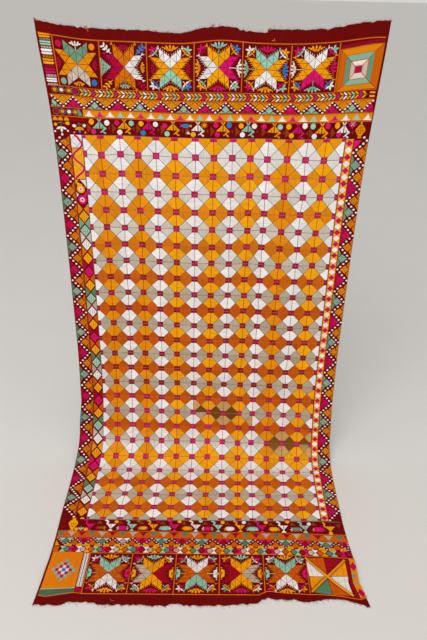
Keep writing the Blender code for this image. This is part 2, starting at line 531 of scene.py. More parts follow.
    def tooth(self, one, other, apex, floss, tip_lay, foot_lay, shade_shares=(None, None), pinch=0.0):
        """A nested diamond under the apex and two corners beside it; pinch draws in the waist.

        The shade shares are the shares of painted shade in the diamond and in the corners.
        """
        tip_floss, foot_floss = ((floss, share) for share in shade_shares)
        one, other, apex = vectors(one, other, apex)
        middle = (one + other) / 2
        edges = (one + apex) / 2, (other + apex) / 2
        near, far = (edge + (middle - edge) * pinch * 0.4 for edge in edges)
        tip = [apex, near, middle, far]
        self.patch(tip, tip_floss, tip_lay)
        broad = np.linalg.norm(other - one) > SMALL_TOOTH
        fine = 1.2 if broad else 0.9
        for share in (0.62, 0.28) if broad else (0.5,):
            self.ring(tip, share, "wine", fine)
        for corner, edge in ((one, near), (other, far)):
            edge = edge + (middle - edge) * pinch * 0.6 + (corner - edge) * pinch * 0.5
            self.patch([corner, middle, edge], foot_floss, foot_lay)
            for share in (0.3, 0.6):
                ends = [end + (middle - end) * share for end in (corner, edge)]
                self.line(ends, "wine", fine, 2)

    def petals(self, x, y, turn, count, length, wide, spread, floss):
        """A fan of petals growing from (x, y); turn in degrees, with 0 pointing up."""
        shape = [(px * wide, py * length) for px, py in PETAL]
        for k in range(count):
            lean = turn + (spread * (k / (count - 1) - 0.5) if count > 1 else 0.0)
            self.patch(placed(shape, x, y, lean), floss, math.radians(lean - 90), gap=0.45)

    def dots(self, path, spacing, floss="white", scale=1.0, squash=0.88):
        """Square stitches spaced evenly along each leg of a zigzag."""
        half = self.size.dot / MM * scale
        for start, end in zip(path[:-1], path[1:]):
            start, end = vectors(start, end)
            parts = max(1, round(np.linalg.norm(end - start) / spacing))
            for k in range(parts):
                self.stitch(*(start + (end - start) * k / parts), half, half * squash, 0.0, floss)
        self.stitch(*path[-1], half, half * squash, 0.0, floss)


class Wire:
    """A shader or geometry socket that arithmetic adds Math nodes to."""

    def __init__(self, nodes, socket):
        self.nodes = nodes
        self.socket = socket

    def maths(self, operation, *others):
        return self.nodes.maths(operation, self, *others)

    def __add__(self, other):
        return self.maths("ADD", other)

    def __sub__(self, other):
        return self.maths("SUBTRACT", other)

    def __rsub__(self, other):
        return self.nodes.maths("SUBTRACT", other, self)

    def __mul__(self, other):
        return self.maths("MULTIPLY", other)

    def __truediv__(self, other):
        return self.maths("DIVIDE", other)

    __radd__ = __add__


class Nodes:
    """Adds nodes to one tree: their settings first, then the values or wires of their sockets."""

    def __init__(self, tree):
        self.tree = tree

    def add(self, kind, values=None, output=0, **setup):
        node = self.tree.nodes.new(kind)
        for name, value in setup.items():
            setattr(node, name, value)
        for name, value in (values or {}).items():
            if isinstance(value, Wire):
                self.tree.links.new(value.socket, node.inputs[name])
            else:
                node.inputs[name].default_value = value
        return Wire(self, node.outputs[output]) if node.outputs else node

    def maths(self, operation, *values):
        return self.add("ShaderNodeMath", dict(enumerate(values)), operation=operation)

    def point(self, x, y, z=0.0):
        return self.add("ShaderNodeCombineXYZ", {"X": x, "Y": y, "Z": z})

    def noise(self, vector, detail=2.0, roughness=0.5, scale=1.0):
        values = {"Vector": vector, "Scale": scale, "Detail": detail, "Roughness": roughness}
        return self.add("ShaderNodeTexNoise", values, "Fac")

    def read(self, name, output="Fac"):
        return self.add("ShaderNodeAttribute", None, output, attribute_name=name)

    def blend(self, share, one, other, kind="MIX"):
        """Two colours mixed; the colour sockets of a Mix node are 6 and 7, its colour output 2."""
        values = {0: share, 6: one, 7: other}
        return self.add("ShaderNodeMix", values, 2, data_type="RGBA", blend_type=kind)

    def shaded(self, colour, shade):
        """A colour made lighter or darker, the same in all its channels."""
        return self.blend(1.0, colour, self.point(shade, shade, shade), "MULTIPLY")


def new_material(name):
    material = bpy.data.materials.new(name)
    material.use_nodes = True
    material.node_tree.nodes.clear()
    return material, Nodes(material.node_tree)


def surface(nodes, colour, roughness, height, distance, sheen, specular):
    """The shader that every finish here ends in."""
    relief = nodes.add("ShaderNodeBump", {"Strength": 1.0, "Distance": distance, "Height": height})
    values = {
        "Base Color": colour,
        "Roughness": roughness,
        "Normal": relief,
        "Sheen Weight": sheen,
        "Specular IOR Level": specular,
    }
    shader = nodes.add("ShaderNodeBsdfPrincipled", values)
    nodes.add("ShaderNodeOutputMaterial", {"Surface": shader})


def cloth_place(nodes):
    """Across and minus down, in metres, from the cloth's own UV map."""
    flat = nodes.add("ShaderNodeUVMap", uv_map="cloth")
    return [nodes.add("ShaderNodeSeparateXYZ", {0: flat}, way) for way in "XY"]


def along_stitches(nodes):
    """Places along the stitches and across them, turned by each patch's lay."""
    across, upward = cloth_place(nodes)
    lay = nodes.read("lay")
    cosine, sine = lay.maths("COSINE"), lay.maths("SINE")
    return across * cosine - upward * sine, 0 - across * sine - upward * cosine


def stitch_ends(nodes, run, over, row, long, share):
    """1 where a stitch ends: rows of one width, stitches of one length, each row shifted by chance."""
    number = (over / row).maths("FLOOR")
    shift = nodes.add("ShaderNodeTexWhiteNoise", {"W": number}, "Value", noise_dimensions="1D")
    return (run / long + shift).maths("FRACT").maths("LESS_THAN", share)


def silk_floss():
    """Untwisted silk floss: fine strands along the stitch, with small stitch ends among them, and painted
    sheen and shade.
    """
    material, nodes = new_material("silk_floss")
    run, over = along_stitches(nodes)
    strands = nodes.noise(nodes.point(run * 70, over * 2600))
    bundles = nodes.noise(nodes.point(run * 22, over * 640, 3.0))
    ends = stitch_ends(nodes, run, over, 0.0011, 0.0085, 0.07)
    # Painted sheen and shade: bundles of strands are lighter and darker, along with tone that differs at
    # random, and stitch ends are darker with painted shade where the floss dives in
    colour = nodes.shaded(nodes.read("floss", "Color"), 0.84 + bundles * 0.34 - ends * 0.22)
    relief = strands * 0.6 + bundles * 0.6 - ends * 0.35
    surface(nodes, colour, 0.42 + strands * 0.16, relief, 0.0003, 0.0, 0.07)
    return material


# Space between the threads of the cotton, and between the rows of ticks on its back
WEAVE = 0.00095
TICK_ROW = 0.0019


def maroon_cotton(maroon, faded):
    """Handspun maroon cotton, worn paler in places, with painted shade in its weave and floss ticks showing
    on the back.
    """
    material, nodes = new_material("maroon_cotton")
    across, upward = cloth_place(nodes)
    wander = nodes.noise(nodes.point(across * 60, upward * 60, 9.0)) * 1.6
    warp, weft = ((way * (math.pi / WEAVE) + wander).maths("SINE") for way in (across, upward))
    slubs = nodes.noise(nodes.point(across * 35, upward * 700, 5.0), 1.0)
    height = warp * weft * 0.5 + slubs * 0.8
    wear = nodes.noise(nodes.point(across * 9, upward * 9, 1.0), 5.0, 0.65)
    streaks = nodes.noise(nodes.point(across * 260, upward * 14, 2.0))
    ground = nodes.blend(wear * 0.75, (*maroon, 1), (*faded, 1))
    # Painted shade: the weave is darker where its threads dip and lighter where they rise
    ground = nodes.shaded(ground, 0.72 + streaks * 0.4 + height * 0.12)
    run, over = along_stitches(nodes)
    ticks = stitch_ends(nodes, run, over, TICK_ROW, 0.0078, 0.09)
    ticks = ticks * (over / TICK_ROW).maths("FRACT").maths("LESS_THAN", 0.5) * nodes.read("back")
    colour = nodes.blend(ticks * 0.8, ground, nodes.read("floss", "Color"))
    surface(nodes, colour, 0.84 + streaks * 0.12, height + ticks, 0.0003, 0.0, 0.04)
    return material


def loose_thread():
    """Ravelled cotton thread, coloured by its own attribute."""
    material, nodes = new_material("loose_thread")
    across, upward = cloth_place(nodes)
    fibres = nodes.noise(nodes.point(across * 1500, upward * 300))
    colour = nodes.shaded(nodes.read("floss", "Color"), 0.75 + fibres * 0.5)
    surface(nodes, colour, 0.8 + fibres * 0.1, fibres, 0.0002, 0.1, 0.08)
    return material


def new_tree(name, **inputs):
    """A Geometry Nodes tree that takes points, named inputs (socket type, default) and a material."""
    tree = bpy.data.node_groups.new(name, "GeometryNodeTree")
    sockets = {"Geometry": ("Geometry", None), **inputs, "Material": ("Material", None)}
    for label, (kind, default) in sockets.items():
        socket = tree.interface.new_socket(label, in_out="INPUT", socket_type="NodeSocket" + kind)
        if default is not None:
            socket.default_value = default
    tree.interface.new_socket("Geometry", in_out="OUTPUT", socket_type="NodeSocketGeometry")
    nodes, group = Nodes(tree), tree.nodes.new("NodeGroupInput")
    return tree, nodes, [Wire(nodes, group.outputs[k]) for k in range(len(sockets))]


def attribute(nodes, name, kind="FLOAT"):
    return nodes.add("GeometryNodeInputNamedAttribute", {"Name": name}, "Attribute", data_type=kind)


def set_out(nodes, points, shape, turns, size, material):
    """A shape on every point, turned and sized, made real, given its material and sent out."""
    turned = nodes.add("FunctionNodeEulerToRotation", {0: turns})
    values = {"Points": points, "Instance": shape, "Rotation": turned, "Scale": size}
    shapes = nodes.add("GeometryNodeInstanceOnPoints", values)
    real = nodes.add("GeometryNodeRealizeInstances", {"Geometry": shapes})
    finished = nodes.add("GeometryNodeSetMaterial", {"Geometry": real, "Material": material})
    nodes.add("NodeGroupOutput", {0: finished})


def stitch_tree():
    """A low tapered bead of floss on every point, turned and sized by the point's attributes."""
    inputs = {"Corners": ("Int", 8), "Taper": ("Float", 0.66)}
    tree, nodes, (points, corners, taper, material) = new_tree("laid_stitches", **inputs)
    values = {"Vertices": corners, "Radius Top": taper, "Radius Bottom": 1.0, "Depth": 1.0}
    bead = nodes.add("GeometryNodeMeshCone", values, "Mesh")
    turns = nodes.point(0.0, 0.0, 0 - attribute(nodes, "turn"))
    set_out(nodes, points, bead, turns, attribute(nodes, "size", "FLOAT_VECTOR"), material)
    return tree


# Thickness of a loose thread before it is scaled, as a share of its length
THREAD_SHARE = 0.03


def thread_tree():
    """A thin curling thread on every point of a raw end, each turned and stretched differently."""
    inputs = {"Thickness": ("Float", 0.00028), "Curl": ("Float", 0.35)}
    tree, nodes, (points, thickness, curl, material) = new_tree("frayed_threads", **inputs)
    straight = nodes.add("GeometryNodeCurvePrimitiveLine", {"Start": (0, 0, 0), "End": (0, 1, 0)})
    bends = nodes.add("GeometryNodeResampleCurve", {"Curve": straight, "Count": 6})
    along = nodes.add("GeometryNodeSplineParameter")
    swing = nodes.point((along * 4.2).maths("SINE") * along * curl, 0.0, 0.0)
    curled = nodes.add("GeometryNodeSetPosition", {"Geometry": bends, "Offset": swing})
    ring = nodes.add("GeometryNodeCurvePrimitiveCircle", {"Resolution": 3, "Radius": 1.0})
    values = {"Curve": curled, "Profile Curve": ring, "Scale": THREAD_SHARE}
    tube = nodes.add("GeometryNodeCurveToMesh", values)
    turns = nodes.point(0.0, attribute(nodes, "spin"), attribute(nodes, "turn"))
    wide = thickness / THREAD_SHARE
    size = nodes.point(wide, attribute(nodes, "stretch"), wide)
    set_out(nodes, points, tube, turns, size, material)
    return tree


def opaque(colours):
    return np.concatenate([colours, np.ones((len(colours), 1))], axis=1)


def flat_mesh(name, points, faces=None, **attributes):
    """A mesh with attributes of one, three or four numbers for each face, or for each loose point."""
    mesh = bpy.data.meshes.new(name)
    mesh.from_pydata(points.tolist(), [], [] if faces is None else faces.tolist())
    kinds = {1: ("FLOAT", "value"), 3: ("FLOAT_VECTOR", "vector"), 4: ("FLOAT_COLOR", "color")}
    for label, values in attributes.items():
        values = np.array(values, np.float32).reshape(len(values), -1)
        kind, field = kinds[values.shape[1]]
        domain = "POINT" if faces is None else "FACE"
        mesh.attributes.new(label, kind, domain).data.foreach_set(field, values.ravel())
    return mesh


def linked(name, data):
    """A new object of the scene."""
    made = bpy.data.objects.new(name, data)
    bpy.context.scene.collection.objects.link(made)
    return made


def grown(name, tree, points, **inputs):
    """The plain mesh that a Geometry Nodes tree makes of some points."""
    seedling = linked(name, points)
    modifier = seedling.modifiers.new(tree.name, "NODES")
    modifier.node_group = tree
    for item in tree.interface.items_tree:
        if item.in_out == "INPUT" and item.name in inputs:
            modifier[item.identifier] = inputs[item.name]
    graph = bpy.context.evaluated_depsgraph_get()
    made = seedling.evaluated_get(graph)
    mesh = bpy.data.meshes.new_from_object(made, preserve_all_data_layers=True, depsgraph=graph)
    seedling.modifiers.clear()
    bpy.data.objects.remove(seedling)
    return mesh


def finished_piece(name, mesh, material):
    """A piece made flat: given its cloth UV map, laid onto the hung cloth, and riding on the body."""
    flat = np.empty(len(mesh.vertices) * 3, np.float32)
    mesh.vertices.foreach_get("co", flat)
    flat = flat.reshape(-1, 3)
    corner = np.empty(len(mesh.loops), np.int32)
    mesh.loops.foreach_get("vertex_index", corner)
    mesh.uv_layers.new(name="cloth").data.foreach_set("uv", flat[corner, :2].ravel())
    mesh.vertices.foreach_set("co", laid_on_cloth(flat.astype(float)).astype(np.float32).ravel())
    mesh.update()
    mesh.materials.clear()
    mesh.materials.append(material)
    mesh.name = name
    piece = linked(name, mesh)
    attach(piece, "root")
    return piece


def chart_piece(name, chart):
    """The patches and lines of a chart as one piece, and its short stitches as another."""
    points, faces, colours, lays = (np.concatenate(part) for part in zip(*chart.parts))
    silk = bpy.data.materials.get("silk_floss") or silk_floss()
    mesh = flat_mesh(name, points, faces, floss=opaque(colours), lay=lays)
    finished_piece(name, mesh, silk)
    if chart.stitches:
        table = np.array(chart.stitches)
        x, y, long, wide, turn, lift = table[:, :6].T
        height = COTTON_FRONT + chart.size.height * STITCH_SHARE - FLOSS_FOOT
        place = np.stack([x * MM, -y * MM, np.full(len(table), FLOSS_FOOT)], -1)
        size = np.stack([long * MM, wide * MM, height + lift], -1)
        points = flat_mesh(name, place, size=size, turn=turn, lay=turn, floss=opaque(table[:, 6:]))
        tree = bpy.data.node_groups.get("laid_stitches") or stitch_tree()
        stitches = grown(name + "_stitches", tree, points, Corners=8, Material=silk)
        finished_piece(name + "_stitches", stitches, silk)


# The field's grid, as counted in the photograph: places of the upright lines, rows 75 mm apart
COLUMN_PLACES = (-490, -421, -350, -281, -210, -137, -61, 11, 83, 155, 219, 293, 365, 436, 509)
FIELD_TOP = ((-490, 373.5), (-200, 376), (100, 375.5), (200, 372.5), (450, 369), (509, 368.5))
FIELD_END = 2244
ROW_FIRST = 374
ROW_PITCH = 75
ROW_COUNT = 26
BLOCK = 12
OLD_GOLD_COLUMNS = (1, 3, 11)

# Share of painted shade in the small magenta blocks, little at the top, most down the hanging part and less
# on the bend: row, share
BLOCK_SHADE = (
    (0, 0.0), (2, 0.15), (4, 0.45), (6, 0.62), (9, 0.85), (15, 0.95), (17, 0.25), (20, 0.2),
    (25, 0.55),
)

# Mended or odd patches, by line and floss: column, row, half (-1 upper or left, 1 lower or right)
MENDS = {
    ("level", "brown"): (
        (6, 17, -1), (7, 17, -1), (7, 17, 1), (8, 17, -1), (8, 17, 1),
        (11, 19, -1), (11, 19, 1), (12, 19, -1), (12, 19, 1), (13, 19, -1),
    ),
    ("level", "straw"): ((13, 19, 1),),
    ("upright", "straw"): (
        (6, 16, 1), (8, 16, -1), (8, 16, 1), (8, 17, -1), (8, 17, 1), (10, 17, -1),
        (12, 18, -1), (12, 18, 1), (12, 19, -1), (12, 19, 1), (14, 18, -1), (14, 19, -1),
    ),
    ("upright", "gold"): ((14, 15, -1), (14, 16, -1)),
}


def field_nodes():
    """Where the grid's lines cross, each a little off, as they are when counted by eye."""
    chance = np.random.default_rng(11)
    rows = np.array([ROW_FIRST + ROW_PITCH * j for j in range(ROW_COUNT)], float)
    x = np.array(COLUMN_PLACES, float)[:, None] + chance.normal(0, 1.2, (len(COLUMN_PLACES), ROW_COUNT))
    y = rows[None, :] + chance.normal(0, 1.3, x.shape)
    x[0], x[-1] = COLUMN_PLACES[0], COLUMN_PLACES[-1]
    y[:, 0], y[:, -1] = between(FIELD_TOP, x[:, 0]), FIELD_END
    return x, y


def quarter(start, end, shift, middle):
    """A part of a diamond: from one block to the next, and out to the middle of the cell beside them."""
    return [start, np.add(start, shift), middle, np.add(end, shift), end]


def field_chart(first, last, seed):
    """The field between two rows: four-part diamonds of gold and white, and magenta blocks."""
    chart = Chart(seed)
    x, y = field_nodes()
    odd = {(way, *place): floss for (way, floss), places in MENDS.items() for place in places}
    wide, high = x.shape[0] - 1, ROW_COUNT - 1
    cell_x, cell_y = ((v[:-1, :-1] + v[1:, :-1] + v[:-1, 1:] + v[1:, 1:]) / 4 for v in (x, y))
    for j in range(first, last):
        for i in range(wide + 1):
            floss = "white" if i % 2 == 0 else "old_gold" if i in OLD_GOLD_COLUMNS else "gold"
            top, foot = (x[i, j], y[i, j] + BLOCK), (x[i, j + 1], y[i, j + 1] - BLOCK)
            for half, cell in ((-1, i - 1), (1, i)):
                if 0 <= cell < wide:
                    outline = quarter(top, foot, (half * BLOCK, 0), (cell_x[cell, j], cell_y[cell, j]))
                    chart.patch(outline, odd.get(("upright", i, j, half), floss))
            if i < wide:
                centre = (cell_x[i, j], cell_y[i, j])
                for side, corner in ((1, i), (-1, i + 1)):
                    head = (x[corner, j] + side * BLOCK, y[corner, j] + BLOCK)
                    heel = (x[corner, j + 1] + side * BLOCK, y[corner, j + 1] - BLOCK)
                    chart.line([head, centre])
                    chart.line([centre, heel])
    for j in range(first, last if last < high else high + 1):
        share = between(BLOCK_SHADE, j)
        for i in range(wide + 1):
            at_x, at_y = x[i, j], y[i, j]
            for side in (-1, 1):
                for rise in (-1, 1):
                    if 0 <= i + min(side, 0) < wide and 0 <= j + min(rise, 0) < high:
                        # Painted shade of each block, with tone that differs at random from block to block
                        depth = float(np.clip(share + chart.chance.normal(0, 0.16), 0, 1))
                        block = box(at_x, at_y, at_x + side * BLOCK, at_y + rise * BLOCK)
                        chart.patch(block, ("magenta", depth), DOWN)
            if 0 < j < high and 0 < i < wide:
                chart.line([(at_x, at_y - BLOCK), (at_x, at_y + BLOCK)], wide=1.1)
            if i < wide:
                start, end = (at_x + BLOCK, at_y), (x[i + 1, j] - BLOCK, y[i + 1, j])
                for half, cell in ((-1, j - 1), (1, j)):
                    if 0 <= cell < high:
                        outline = quarter(start, end, (0, half * BLOCK), (cell_x[i, cell], cell_y[i, cell]))
                        floss = odd.get(("level", i, j, half), "gold" if j % 2 == 0 else "white")
                        # Painted shade: patches whose stitches run down are darker, by how far down the
                        # cloth they are
                        chart.patch(outline, floss, DOWN)
        chart.line([(x[i, j], y[i, j]) for i in range(wide + 1)])
    return chart


# Outer points of the left zigzag and inner points of the right one, down the cloth
LEFT_POINTS = (
    400, 497, 597, 693, 792, 892, 997, 1100, 1200, 1300, 1407, 1518, 1630, 1740, 1847, 1950, 2065,
    2182,
)
RIGHT_POINTS = (
    422, 515, 610, 708, 810, 912, 1015, 1115, 1218, 1315, 1420, 1523, 1623, 1722, 1828, 1938, 2042,
    2138, 2241,
)
DOT_PITCH = 16.5

# Teeth of the side zigzags in turn: floss, and how far the waist is drawn in
ZIGZAG_TEETH = (("mint", 0.25), ("magenta", 0.0))
GOLD_TEETH = (("gold", 0.2),)

# The left strip: its middle, and its lozenges, which lie a little further apart each time
STRIP = -514
LOZENGES = "GMWGP"
LOZENGE_FIRST = 703
LOZENGE_PITCH = 61.8
LOZENGE_GROWTH = 0.152
LOZENGE_COUNT = 24

# The chain of small diamonds in the right strip
CHAIN_COUNT = 73
CHAIN_FIRST = 387
CHAIN_LAST = 2230


def side_teeth(chart, places, base, apex, half, kinds, shade_shares, top=0):
    """Teeth that stand on an upright line at base and point to apex, both across."""
    for k, y in enumerate(places):
        floss, pinch = kinds[k % len(kinds)]
        start, end = (base, max(y - half, top)), (base, y + half)
        chart.tooth(start, end, (apex, y), floss, ACROSS, DOWN, shade_shares, pinch)


def left_border():
    chart = Chart(21)
    middles = middles_of(LEFT_POINTS)
    side_teeth(chart, LEFT_POINTS, -541, -581.6, 42, GOLD_TEETH, (0.6, 0.8), 377)
    side_teeth(chart, middles, -599, -556.08, 43, ZIGZAG_TEETH, (0.42, 0.95))
    path = [(-567, 375)]
    for point, middle in zip(LEFT_POINTS, middles + [2234]):
        path += [(-592, point), (-545, middle)]
    chart.dots(path, DOT_PITCH)
    for k in range(LOZENGE_COUNT):
        y = LOZENGE_FIRST + LOZENGE_PITCH * k + LOZENGE_GROWTH * k * k
        floss = LETTERS[LOZENGES[k % len(LOZENGES)]]
        chart.patch(diamond(STRIP, y, 22, 27), floss)
        for offset in (-9, 0, 9):
            x, reach = STRIP + offset, 18 - abs(offset)
            chart.line([(x, y - reach), (x, y + reach)], ("magenta", 1.0), 1.4, 5)
        joint = y - LOZENGE_PITCH / 2 - 1
        for side in (-1, 1):
            base = STRIP + side * 23.5
            chart.patch([(base, joint - 27), (base, joint + 27), (STRIP + side * 1.2, joint)], floss, DOWN)
    head_of_strip(chart)
    chart.line([(-539, 375), (-539, 2243)], "cord", 1.3)
    chart.line([(-490.5, 375), (-490.5, 2243)], "sage", 1.3)
    return chart


# Fillings of the left strip's head
STRIP_FILLINGS = (
    ("white", box(-537, 373, -492, 424)),
    ("gold", box(-537, 425, -492, 548)),
    ("gold", [(-537, 549), (-522, 549), (-537, 574)]),
    ("white", [(-518, 549), (-492, 549), (-492, 586), (-500, 570)]),
    ("white", [(-537, 600), (-526, 612), (-537, 624)]),
)


def head_of_strip(chart):
    """The odd top of the left strip: a winding magenta line on white and gold, and two round eyes."""
    for floss, outline in STRIP_FILLINGS:
        chart.patch(outline, floss)
    for y in range(373, 549, 44):
        loop = [(-537, y + 22), (STRIP, y), (-492, y + 22), (STRIP, y + 44), (-537, y + 22)]
        chart.line(loop, "sage", 1.8, 3)
    path = [(-522, 374), (-508, 384)]
    path += [(STRIP + 19.5 * math.cos(math.pi * (y - 408) / 48), y) for y in range(392, 556, 8)]
    chart.line(path, "magenta", 9.0, 6)
    chart.patch([(-490, 588), (-496, 622), (-512, 616)], "magenta")
    chart.patch([(-537, 556), (-505, 570), (-528, 582)], "gold")
    for x, y, reach, floss in ((-517, 588, 18, "gold"), (-514, 632, 20, "magenta")):
        chart.patch(disc(x, y, reach, reach), floss, ACROSS, 2)
        chart.patch(disc(x, y, reach * 0.58, reach * 0.58), "white", DOWN, 6)
        chart.patch(disc(x, y, reach * 0.3, reach * 0.3, 6), "magenta", ACROSS, 10)


def right_border():
    chart = Chart(22)
    middles = middles_of(RIGHT_POINTS)
    side_teeth(chart, middles, 543.5, 585, 43, ZIGZAG_TEETH, (0.35, 0.6))
    side_teeth(chart, RIGHT_POINTS[:-1], 600, 559, 42, GOLD_TEETH, (0.45, 0.65))
    chart.patch([(543.5, 376), (575, 376), (560, 396), (543.5, 414)], "magenta")
    path = [(581, 367), (593, 378), (548, RIGHT_POINTS[0])]
    for point, middle in zip(RIGHT_POINTS[1:], middles):
        path += [(595, middle), (549, point)]
    chart.dots(path, DOT_PITCH)
    chart.patch(box(511.5, 371, 541.5, 2244), "gold")
    for k in range(CHAIN_COUNT):
        y = CHAIN_FIRST + (CHAIN_LAST - CHAIN_FIRST) * k / (CHAIN_COUNT - 1)
        floss = "white" if k % 2 else ("magenta", 0.35)
        chart.patch(diamond(526.5, y, 16.0, 14.2), floss, ACROSS, 6)
    chart.line([(510.5, 371), (510.5, 2243)], "sage", 1.2)
    chart.line([(542, 371), (542, 2243)], "cord", 1.2)
    return chart


# Arms of a star, from the star's middle towards one corner
STAR_ARM = ((0, 0), (0, 41), (40, 70), (39, 37))
SIDE_ARM = ((0, 0), (40, 0), (69, 39), (39, 37.5))
FRINGE_PITCH = 8.2

# A half flower that looks up: its bowl, or the bud that the sides of the foot's squares have, and its
# petals and side curls, which are places across and down, turn, length and width
BOWL = ((-9, 0), (9, 0), (18, -10), (-18, -10))
BUD = ((-14, 0), (14, 0), (23, -16), (-23, -16))
PETALS = (
    (-12, -6, -60, 14.5, 8), (-8, -7, -27, 15.5, 9), (0, -7, 0, 16, 8.5), (8, -7, 27, 15.5, 9),
    (12, -6, 60, 14.5, 8),
)
CURLS = ((-23, -9, -38, 10, 4.5), (23, -9, 38, 10, 4.5))

# Star squares: middle across and down; letters of the floss of the arms and of the fillings between
# them, each in the order top, left, right, foot; flower and leaves of the four corners, in the order
# top left, top right, foot left, foot right; floss of the eye. A small letter is a floss with much
# painted shade, L is the ladder, and a corner with - for its leaves has a leafy twig.
HEAD_SQUARES = (
    (-479, 125, "mOOw", "WppG", ("p-", "G-", "m-", "B-"), "magenta"),
    (-316, 129, "gpWg", "pLGM", ("W-", "B-", "G-", "p-"), "blue"),
    (-150, 130, "WGGM", "GppG", ("PM", "MG", "WB", "BW"), "blue"),
    (22, 128, "GWPG", "MGWP", ("Pp", "BG", "GM", "MW"), "blue"),
    (194, 127, "MGGW", "PMBG", ("WG", "GW", "PG", "MP"), "blue"),
    (362, 122, "WGGP", "GWPM", ("PM", "MP", "GB", "WB"), "blue"),
)
FOOT_SQUARES = (
    (-352, 2510, "MGGW", "GMPG", ("WP", "MW", "PG", "GM"), "wine"),
    (-180, 2511, "GWPG", "MGGP", ("PM", "WG", "MW", "GM"), "wine"),
    (-8, 2510, "WGGM", "GMWG", ("PM", "MP", "WP", "GW"), "wine"),
    (165, 2508, "GPWG", "MGGP", ("GP", "PW", "MG", "WG"), "wine"),
    (340, 2508, "MGGW", "GMPG", ("WM", "MW", "PG", "GP"), "wine"),
)

# Scale of a star across and down; how far the dividing lines lie from its middle, across and down; the
# scale of its flowers, and how much nearer to its middle the right one is than the left one
HEAD_STARS = (
    ((0.98, 1.07), (74, 84), (0.8, 0)), ((0.95, 1.07), (84, 84), (0.8, 4)),
    ((1.0, 0.95), (86, 84), (1.0, 0)), ((1.0, 0.95), (86, 84), (1.0, 0)),
    ((1.0, 0.95), (86, 84), (1.0, 7)), ((1.0, 0.95), (86, 84), (1.0, 7)),
)
FOOT_STARS = ((1.05, 1.06), (86, 91.5), (1.05, 0))


def floss_of(letter):
    """The floss that a letter of a chart stands for, with a share of painted shade where the letter is
    small.
    """
    return LETTERS[letter.upper()], None if letter.isupper() else 0.75


def arm(chart, points, floss, lay):
    """One arm of a star: two strips side by side, each cut once from corner to corner."""
    centre, notch, tip, corner = vectors(*points)
    inner, outer = centre + (corner - centre) * 0.56, notch + (tip - notch) * 0.56
    for a, b, c, d in ((centre, notch, inner, outer), (inner, outer, corner, tip)):
        for outline in ([a, c, b], [c, d, b]):
            chart.patch(outline, floss, lay, gap=0.75)


def fringe(chart, start, end, out, away, floss):
    """Short strokes that stand out from an edge, and a small forked curl at its far end."""
    start, end, out, away = vectors(start, end, out, away)
    length = np.linalg.norm(end - start)
    for at in np.arange(7.0, 0.86 * length, FRINGE_PITCH):
        foot = start + (end - start) * at / length
        chart.line([foot, foot + out], floss, 2.0)
    chart.line([end - out * 0.3, end + out * 0.7 + away * 3, end + out * 1.4 + away * 2], floss, 3.2)
    chart.line([end - out * 0.2, end + out * 0.3 + away * 8], floss, 3.2)


def lotus(chart, x, y, turn, notch, base, floss, kind):
    """A half flower on a thin stem. Its kind is its scale, or 0 for a bud; a small one has no side curls."""
    name, share = floss
    stem = placed([(0, 2 - notch), (0, -base)], x, y, turn)
    chart.line(stem, ("rust", 0.0) if name == "gold" else floss, 2.0, 4)
    share = 0.12 if share is None else share
    scale = kind or 1.0
    bowl = [(px * scale, py * scale) for px, py in (BOWL if kind else BUD)]
    # Painted shade: the bowl of a flower gets at least half
    depth = max(share, 0.5) if kind else share
    chart.patch(placed(bowl, *stem[1], turn), (name, depth), math.radians(turn))
    for px, py, lean, length, wide in (*(PETALS if kind else ()), *(() if 0 < kind < 1 else CURLS)):
        at = placed([(px * scale, py * scale)], *stem[1], turn)[0]
        chart.petals(*at, turn + lean, 1, length * scale, wide * scale, 0, (name, share))
    heart = placed([(0, -7 * scale if kind else -15)], *stem[1], turn)[0]
    reach = 3.2 if kind else 8.5
    # Painted shade: the heart gets nearly all
    chart.patch(disc(*heart, reach, reach, 8), (name, 0.95), DOWN, 6)


def corner_flower(chart, x, y, side, rise, flower, leaf):
    """Four petals that point into a corner and two leaves across their stem, or a leafy twig."""
    turn = math.degrees(math.atan2(side, -rise))
    flower = floss_of(flower)
    if leaf == "-":
        chart.line([(x - side * 15, y - rise * 15), (x + side * 12, y + rise * 12)], flower, 2.8)
        for along, length in ((-8, 11), (0, 16), (9, 15)):
            chart.petals(x + side * along, y + rise * along, turn, 2, length, 8.0, 100, flower)
        return
    chart.petals(x, y, turn, 4, 18, 8.5, 196, flower)
    chart.line([(x - side * 17, y - rise * 17), (x, y)], floss_of(leaf), 2.4)
    chart.petals(x - side * 8, y - rise * 8, turn, 2, 19, 7, 156, floss_of(leaf))


def ladder(chart, x, y):
    """The odd filling of one square: a fan of upright bars on three slanting ones."""
    for k in range(7):
        across, bar = x - 81 + 5.2 * k, 30 - 4.6 * k
        chart.line([(across, y - bar), (across, y + bar)], "mint", 3.2)
    for k in (-1, 0, 1):
        chart.line([(x - 82, y + 17 * k), (x - 50, y + 2 * k)], "mint", 2.0)


